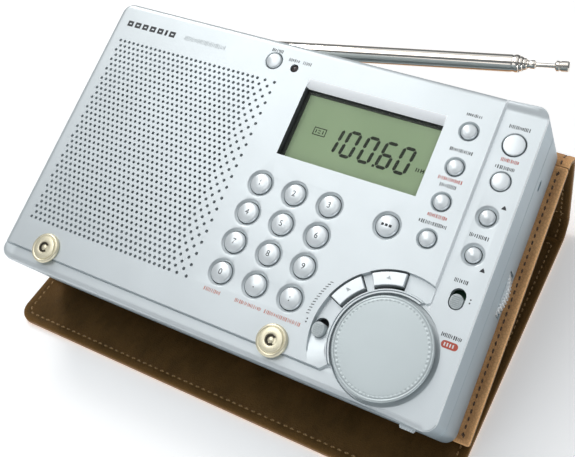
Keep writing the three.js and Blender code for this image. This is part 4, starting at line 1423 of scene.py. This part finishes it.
def board_piece(name, outline, holes, matrix, looks, body, node):
    """A leather board about the plane z = 0."""
    loops = [outline] + [grown(outline, -inset) for inset in EDGE_STEPS + SEAM_STEPS]
    loops += [grown(hole, out) for hole in holes for out in EDGE_STEPS]
    low, high = np.min(outline, 0) + SPOT_PITCH, np.max(outline, 0) - 5
    rows = np.arange(low[1], high[1], SPOT_PITCH)
    spots = [(x, y) for x in np.arange(low[0], high[0], SPOT_PITCH) for y in rows]
    spots = np.array(spots)[inside(spots, grown(outline, -4))]
    points, triangles = flat_mesh(loops, holes, spots=spots)
    seam_edge = distance(points, outline)
    edge = np.min([seam_edge, *(distance(points, hole) for hole in holes)], axis=0)
    height = leather_height(edge, seam_edge)
    shape = sheet(layer(points, height), layer(points, -height), triangles, (0, 1, 2))
    path = grown(outline, -STITCH_INSET)
    threads = [board_stitches(path, side) for side in (1, -1)]
    leather_piece(name, shape, edge, threads, looks, matrix, body, "leather", [node])


def board_stitches(path, side):
    stitches = []
    for place, along in spaced(path, STITCH_PITCH):
        middle = np.array([*place, side * SEAM_LEVEL])
        stitches.append(stitch(middle, np.array([*along, 0]), np.array([0, 0, side])))
    return stitches


def spaced(loop, pitch):
    """Points at an even pitch along a loop, each with the loop's direction there."""
    loop = np.array(loop + loop[:1], float)
    steps = np.hypot(*(loop[1:] - loop[:-1]).T)
    ends = np.concatenate([[0], np.cumsum(steps)])
    count = round(ends[-1] / pitch)
    found = []
    for place in (np.arange(count) + 0.5) * ends[-1] / count:
        index = int(np.searchsorted(ends, place)) - 1
        along = (loop[index + 1] - loop[index]) / steps[index]
        found.append((loop[index] + along * (place - ends[index]), along))
    return found


def stitch(place, along, up):
    """One stitch: a bent thread that dips into the leather at both ends."""
    along = unit(along + np.cross(up, along) * random.uniform(0.05, 0.16))
    across = np.cross(up, along)
    half = STITCH_LENGTH / 2 * random.uniform(0.92, 1.06)
    loops = []
    for share in np.linspace(-1, 1, 5):
        middle = place + along * share * half + up * (0.12 - 0.3 * share**2)
        size = STITCH_RADIUS * (1 - 0.45 * share**4)
        angles = [TURN * k / 6 for k in range(6)]
        ring = [across * math.cos(a) + up * math.sin(a) * 0.75 for a in angles]
        loops.append([middle + offset * size for offset in ring])
    return loft(loops)


def board_frame(start, along_yz):
    """A board's frame: x to the right, y along the cover from a crease, z out of its lining."""
    along = Vector((0, *along_yz)).normalized()
    return frame_matrix((RIGHT, along, RIGHT.cross(along)), Vector((0, *start)) * MM)


def turned_over(loop):
    """A loop of the face frame as seen from behind."""
    return [(WIDTH - x, y) for x, y in reversed(loop)]


def flap_outline(length):
    left = LEFT_SIDE - FLAP_FLARE
    points = [(LEFT_SIDE, CREASE_START), (RIGHT_SIDE, CREASE_START)]
    points += arc(RIGHT_SIDE - FLAP_CORNER, length - FLAP_CORNER, FLAP_CORNER, 0, 90, 10)
    points += arc(left + FLAP_CORNER, length - FLAP_CORNER, FLAP_CORNER, 90, 180, 10)
    return points + [(left, 30)]


def build_boards():
    low, high = face_box("cover_back_board")
    door_low, door_high = face_box("battery_door")
    left, bottom = door_low[0] - HATCH_GAP, door_low[1] - HATCH_GAP_BELOW
    right = door_high[0] + travel("battery_door_slide") + HATCH_GAP
    hatch = rounded_rect(left, bottom, right, door_high[1] + HATCH_GAP, HATCH_CORNER, 6)
    top = (FACE.inverted() @ Vector((0, *(CREASES[0] * MM)))).y - CREASE_START
    outline = rounded_rect(low[0], low[1] + BOARD_TUCK, high[0], top, BOARD_CORNER, 3)
    behind = frame_matrix((-RIGHT, UP, -OUT), FACE @ Vector((WIDTH, 0, (low[2] + high[2]) / 2)))
    outline, hatch = turned_over(outline), turned_over(hatch)
    outside, inner = [LEATHER, LINING], [LINING, LEATHER]
    board_piece("back_board_looks", outline, [hatch], behind, outside, "radio", "cover_back_board")
    spine = CREASES[2] - CREASES[1]
    length = np.linalg.norm(spine)
    top = length - CREASE_START
    outline = rounded_rect(LEFT_SIDE, CREASE_START, RIGHT_SIDE, top, BOARD_CORNER, 3)
    matrix = board_frame(CREASES[1], spine)
    board_piece("spine_board_looks", outline, [], matrix, inner, "spine", "cover_spine_board")
    outline = flap_outline(CREASES[3][0] - FLAP_END + FLAP_FLARE)
    matrix = board_frame(CREASES[3], (-1, 0))
    board_piece("flap_looks", outline, [], matrix, inner, "flap", "cover_flap")


def fillet(before, corner, after):
    """Points round a corner of the cover."""
    start = corner + unit(before - corner) * FOLD_BEND
    end = corner + unit(after - corner) * FOLD_BEND
    shares = np.linspace(0, 1, 8)[:, None]
    return (1 - shares) ** 2 * start + 2 * shares * (1 - shares) * corner + shares**2 * end


def crease_piece(name, line, first, second, *nodes):
    """A bend of the cover: its middle line across the row is given, and it lies between two bodies. It rides on
    neither, and the first is not used.
    """
    line = np.array(line)
    steps = np.concatenate([[0], np.cumsum(np.hypot(*(line[1:] - line[:-1]).T))])
    total = steps[-1]
    directions = np.gradient(line, axis=0)
    directions /= np.hypot(*directions.T)[:, None]
    normals = np.stack([-directions[:, 1], directions[:, 0]], 1)
    from_middle = total - steps if second.endswith("crease") else steps
    thinning = FOLD_THINNING * ease(1 - from_middle / FOLD_REACH)
    insets = np.array([0, *EDGE_STEPS, *SEAM_STEPS])
    inner = np.linspace(LEFT_SIDE + 8, RIGHT_SIDE - 8, 24)
    xs = np.concatenate([LEFT_SIDE + insets, inner, RIGHT_SIDE - insets[::-1]])
    edge = np.minimum(xs - LEFT_SIDE, RIGHT_SIDE - xs)
    height = leather_height(edge, edge)
    layers = []
    for side, pared in ((1, thinning), (-1, 0 * thinning)):
        rows = []
        for place, normal, thinner in zip(line, normals * side, pared):
            level = (height - thinner)[:, None]
            rows += [*np.column_stack([xs, place + normal * level])]
        layers.append(rows)
    across = len(xs)
    corners = [r * across + c for r in range(len(line) - 1) for c in range(across - 1)]
    faces = [(a, a + 1, a + 1 + across, a + across) for a in corners]
    shape = sheet(*layers, faces, (0, 1, 2))
    threads = [[], []]
    count = max(1, round(total / STITCH_PITCH))
    for x in (LEFT_SIDE + STITCH_INSET, RIGHT_SIDE - STITCH_INSET):
        for place in (np.arange(count) + 0.5) * total / count:
            at = np.array([np.interp(place, steps, column) for column in line.T])
            index = int(np.searchsorted(steps, place))
            for side, stitches in zip((1, -1), threads):
                pared = np.interp(place, steps, thinning) if side > 0 else 0
                normal = normals[index] * side
                middle = np.array([x, *(at + normal * (SEAM_LEVEL - pared))])
                along, up = np.array([0, *directions[index]]), np.array([0, *normal])
                stitches.append(stitch(middle, along, up))
    edges = np.tile(edge, len(line))
    matrix = Matrix.Scale(MM, 4)
    roles = (None, "leather", nodes)
    piece = leather_piece(name, shape, edges, threads, [LINING, LEATHER], matrix, *roles)
    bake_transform(piece)


def build_creases():
    a, b, c, d = CREASES
    before_a = a - np.array([UP.y, UP.z]) * CREASE_START
    after_b = b + unit(c - b) * CREASE_START
    before_c = c - unit(c - b) * CREASE_START
    after_d = d - np.array([1.0, 0.0]) * CREASE_START
    top, foot = (a + b) / 2, (c + d) / 2
    line = [before_a, *fillet(before_a, a, b), top]
    crease_piece("rear_bend_upper", line, "radio", "rear_crease", "cover_rear_crease")
    line = [top, *fillet(a, b, after_b), after_b]
    crease_piece("rear_bend_lower", line, "rear_crease", "spine")
    line = [before_c, *fillet(before_c, c, d), foot]
    crease_piece("foot_bend_rear", line, "spine", "front_crease", "cover_front_crease")
    line = [foot, *fillet(c, d, after_d), after_d]
    crease_piece("foot_bend_front", line, "front_crease", "flap")


# ---------------------------------------------------------------- CAD pieces that stay as they are
KEPT_LOOKS = {
    STEEL: ["speaker_frame"],
    PAPER_CONE: ["speaker_cone"],
    BOARD_GREEN: ["main_circuit_board"],
    RUBBER: ["keypad_mat"],
    FERRITE: ["ferrite_rod"],
    CELL_SLEEVE: ["battery_cell_1", "battery_cell_2", "battery_cell_3"],
    CHROME: ["antenna_pin"],
    GILT: ["snap_socket_1", "snap_socket_2", "cover_screw_1", "cover_screw_2"],
}


def dress_kept_nodes():
    for material, nodes in KEPT_LOOKS.items():
        for node in nodes:
            mesh = frame["nodes"][node].data
            mesh.materials.clear()
            mesh.materials.append(material)


# ---------------------------------------------------------------- floor, light and camera
FLOOR_REACH = 3.0
CAMERA_PLACE = (0.1186, -0.1348, 0.2388)
CAMERA_TURN = (42.931, 7.04, 27.943)
CAMERA_LENS = 58.01
CAMERA_SHIFT = (-0.0729, -0.1145)


def make_floor():
    look = Look("pale_floor", Roughness=0.7, Specular_IOR_Level=0.2, Emission_Strength=0.26)
    tint = look.ramp(look.noise(400.0, 2.0), (0.2, 0.95), (0.8, 0.97))
    look.fill(look.shader, {"Emission_Color": (1, 1, 1, 1), "Base_Color": tint})
    reach = FLOOR_REACH
    corners = [(-reach, -reach, 0), (reach, -reach, 0), (reach, reach, 0), (-reach, reach, 0)]
    add_mesh("floor", Shape(corners, [range(4)]), Matrix(), [look.material])


def soft_light(name, place, aim, size, power, colour=(1, 1, 1)):
    light = bpy.data.lights.new(name, "AREA")
    light.shape = "RECTANGLE"
    light.size, light.size_y = size
    light.energy = power
    light.color = colour
    holder = add_object(name, light)
    holder.location = place
    holder.rotation_euler = (Vector(aim) - Vector(place)).to_track_quat("-Z", "Y").to_euler()


def light_scene():
    world = bpy.data.worlds.new("studio")
    bpy.context.scene.world = world
    world.use_nodes = True
    background = world.node_tree.nodes["Background"]
    background.inputs["Color"].default_value = (0.86, 0.93, 1.0, 1)
    background.inputs["Strength"].default_value = 0.20
    middle = (0, 0, 0.03)
    soft_light("left_light", (-0.55, 0.35, 0.70), middle, (0.25, 0.25), 2.3, (1, 0.985, 0.96))
    soft_light("upper_light", (-0.42, -0.05, 1.05), middle, (0.7, 0.6), 2.55)
    soft_light("overhead_light", (0.02, 0.25, 1.35), (0.02, 0, 0), (2.0, 2.0), 8.0)
    soft_light("right_light", (0.9, -0.55, 0.12), (0.06, 0, 0.04), (0.5, 0.2), 1.6, (0.92, 0.97, 1))
    soft_light("front_light", (-0.4, -1.0, 0.6), middle, (0.9, 0.5), 1.3)


def set_camera():
    camera = bpy.data.cameras.new("camera")
    holder = add_object("camera", camera)
    bpy.context.scene.camera = holder
    holder.location = CAMERA_PLACE
    holder.rotation_euler = [math.radians(angle) for angle in CAMERA_TURN]
    camera.sensor_width = 36
    camera.lens = CAMERA_LENS
    camera.shift_x, camera.shift_y = CAMERA_SHIFT
    camera.clip_start, camera.clip_end = 0.01, 20


build_front_cover()
build_buttons()
build_arc_buttons()
build_sliders()
build_knob()
build_studs()
build_lamp()
build_display()
build_marks()
build_rear_cover()
build_jacks()
build_door()
build_wheel()
build_range_switch()
build_antenna()
build_boards()
build_creases()
dress_kept_nodes()
make_floor()
light_scene()
set_camera()
bpy.context.scene.view_settings.view_transform = "Standard"
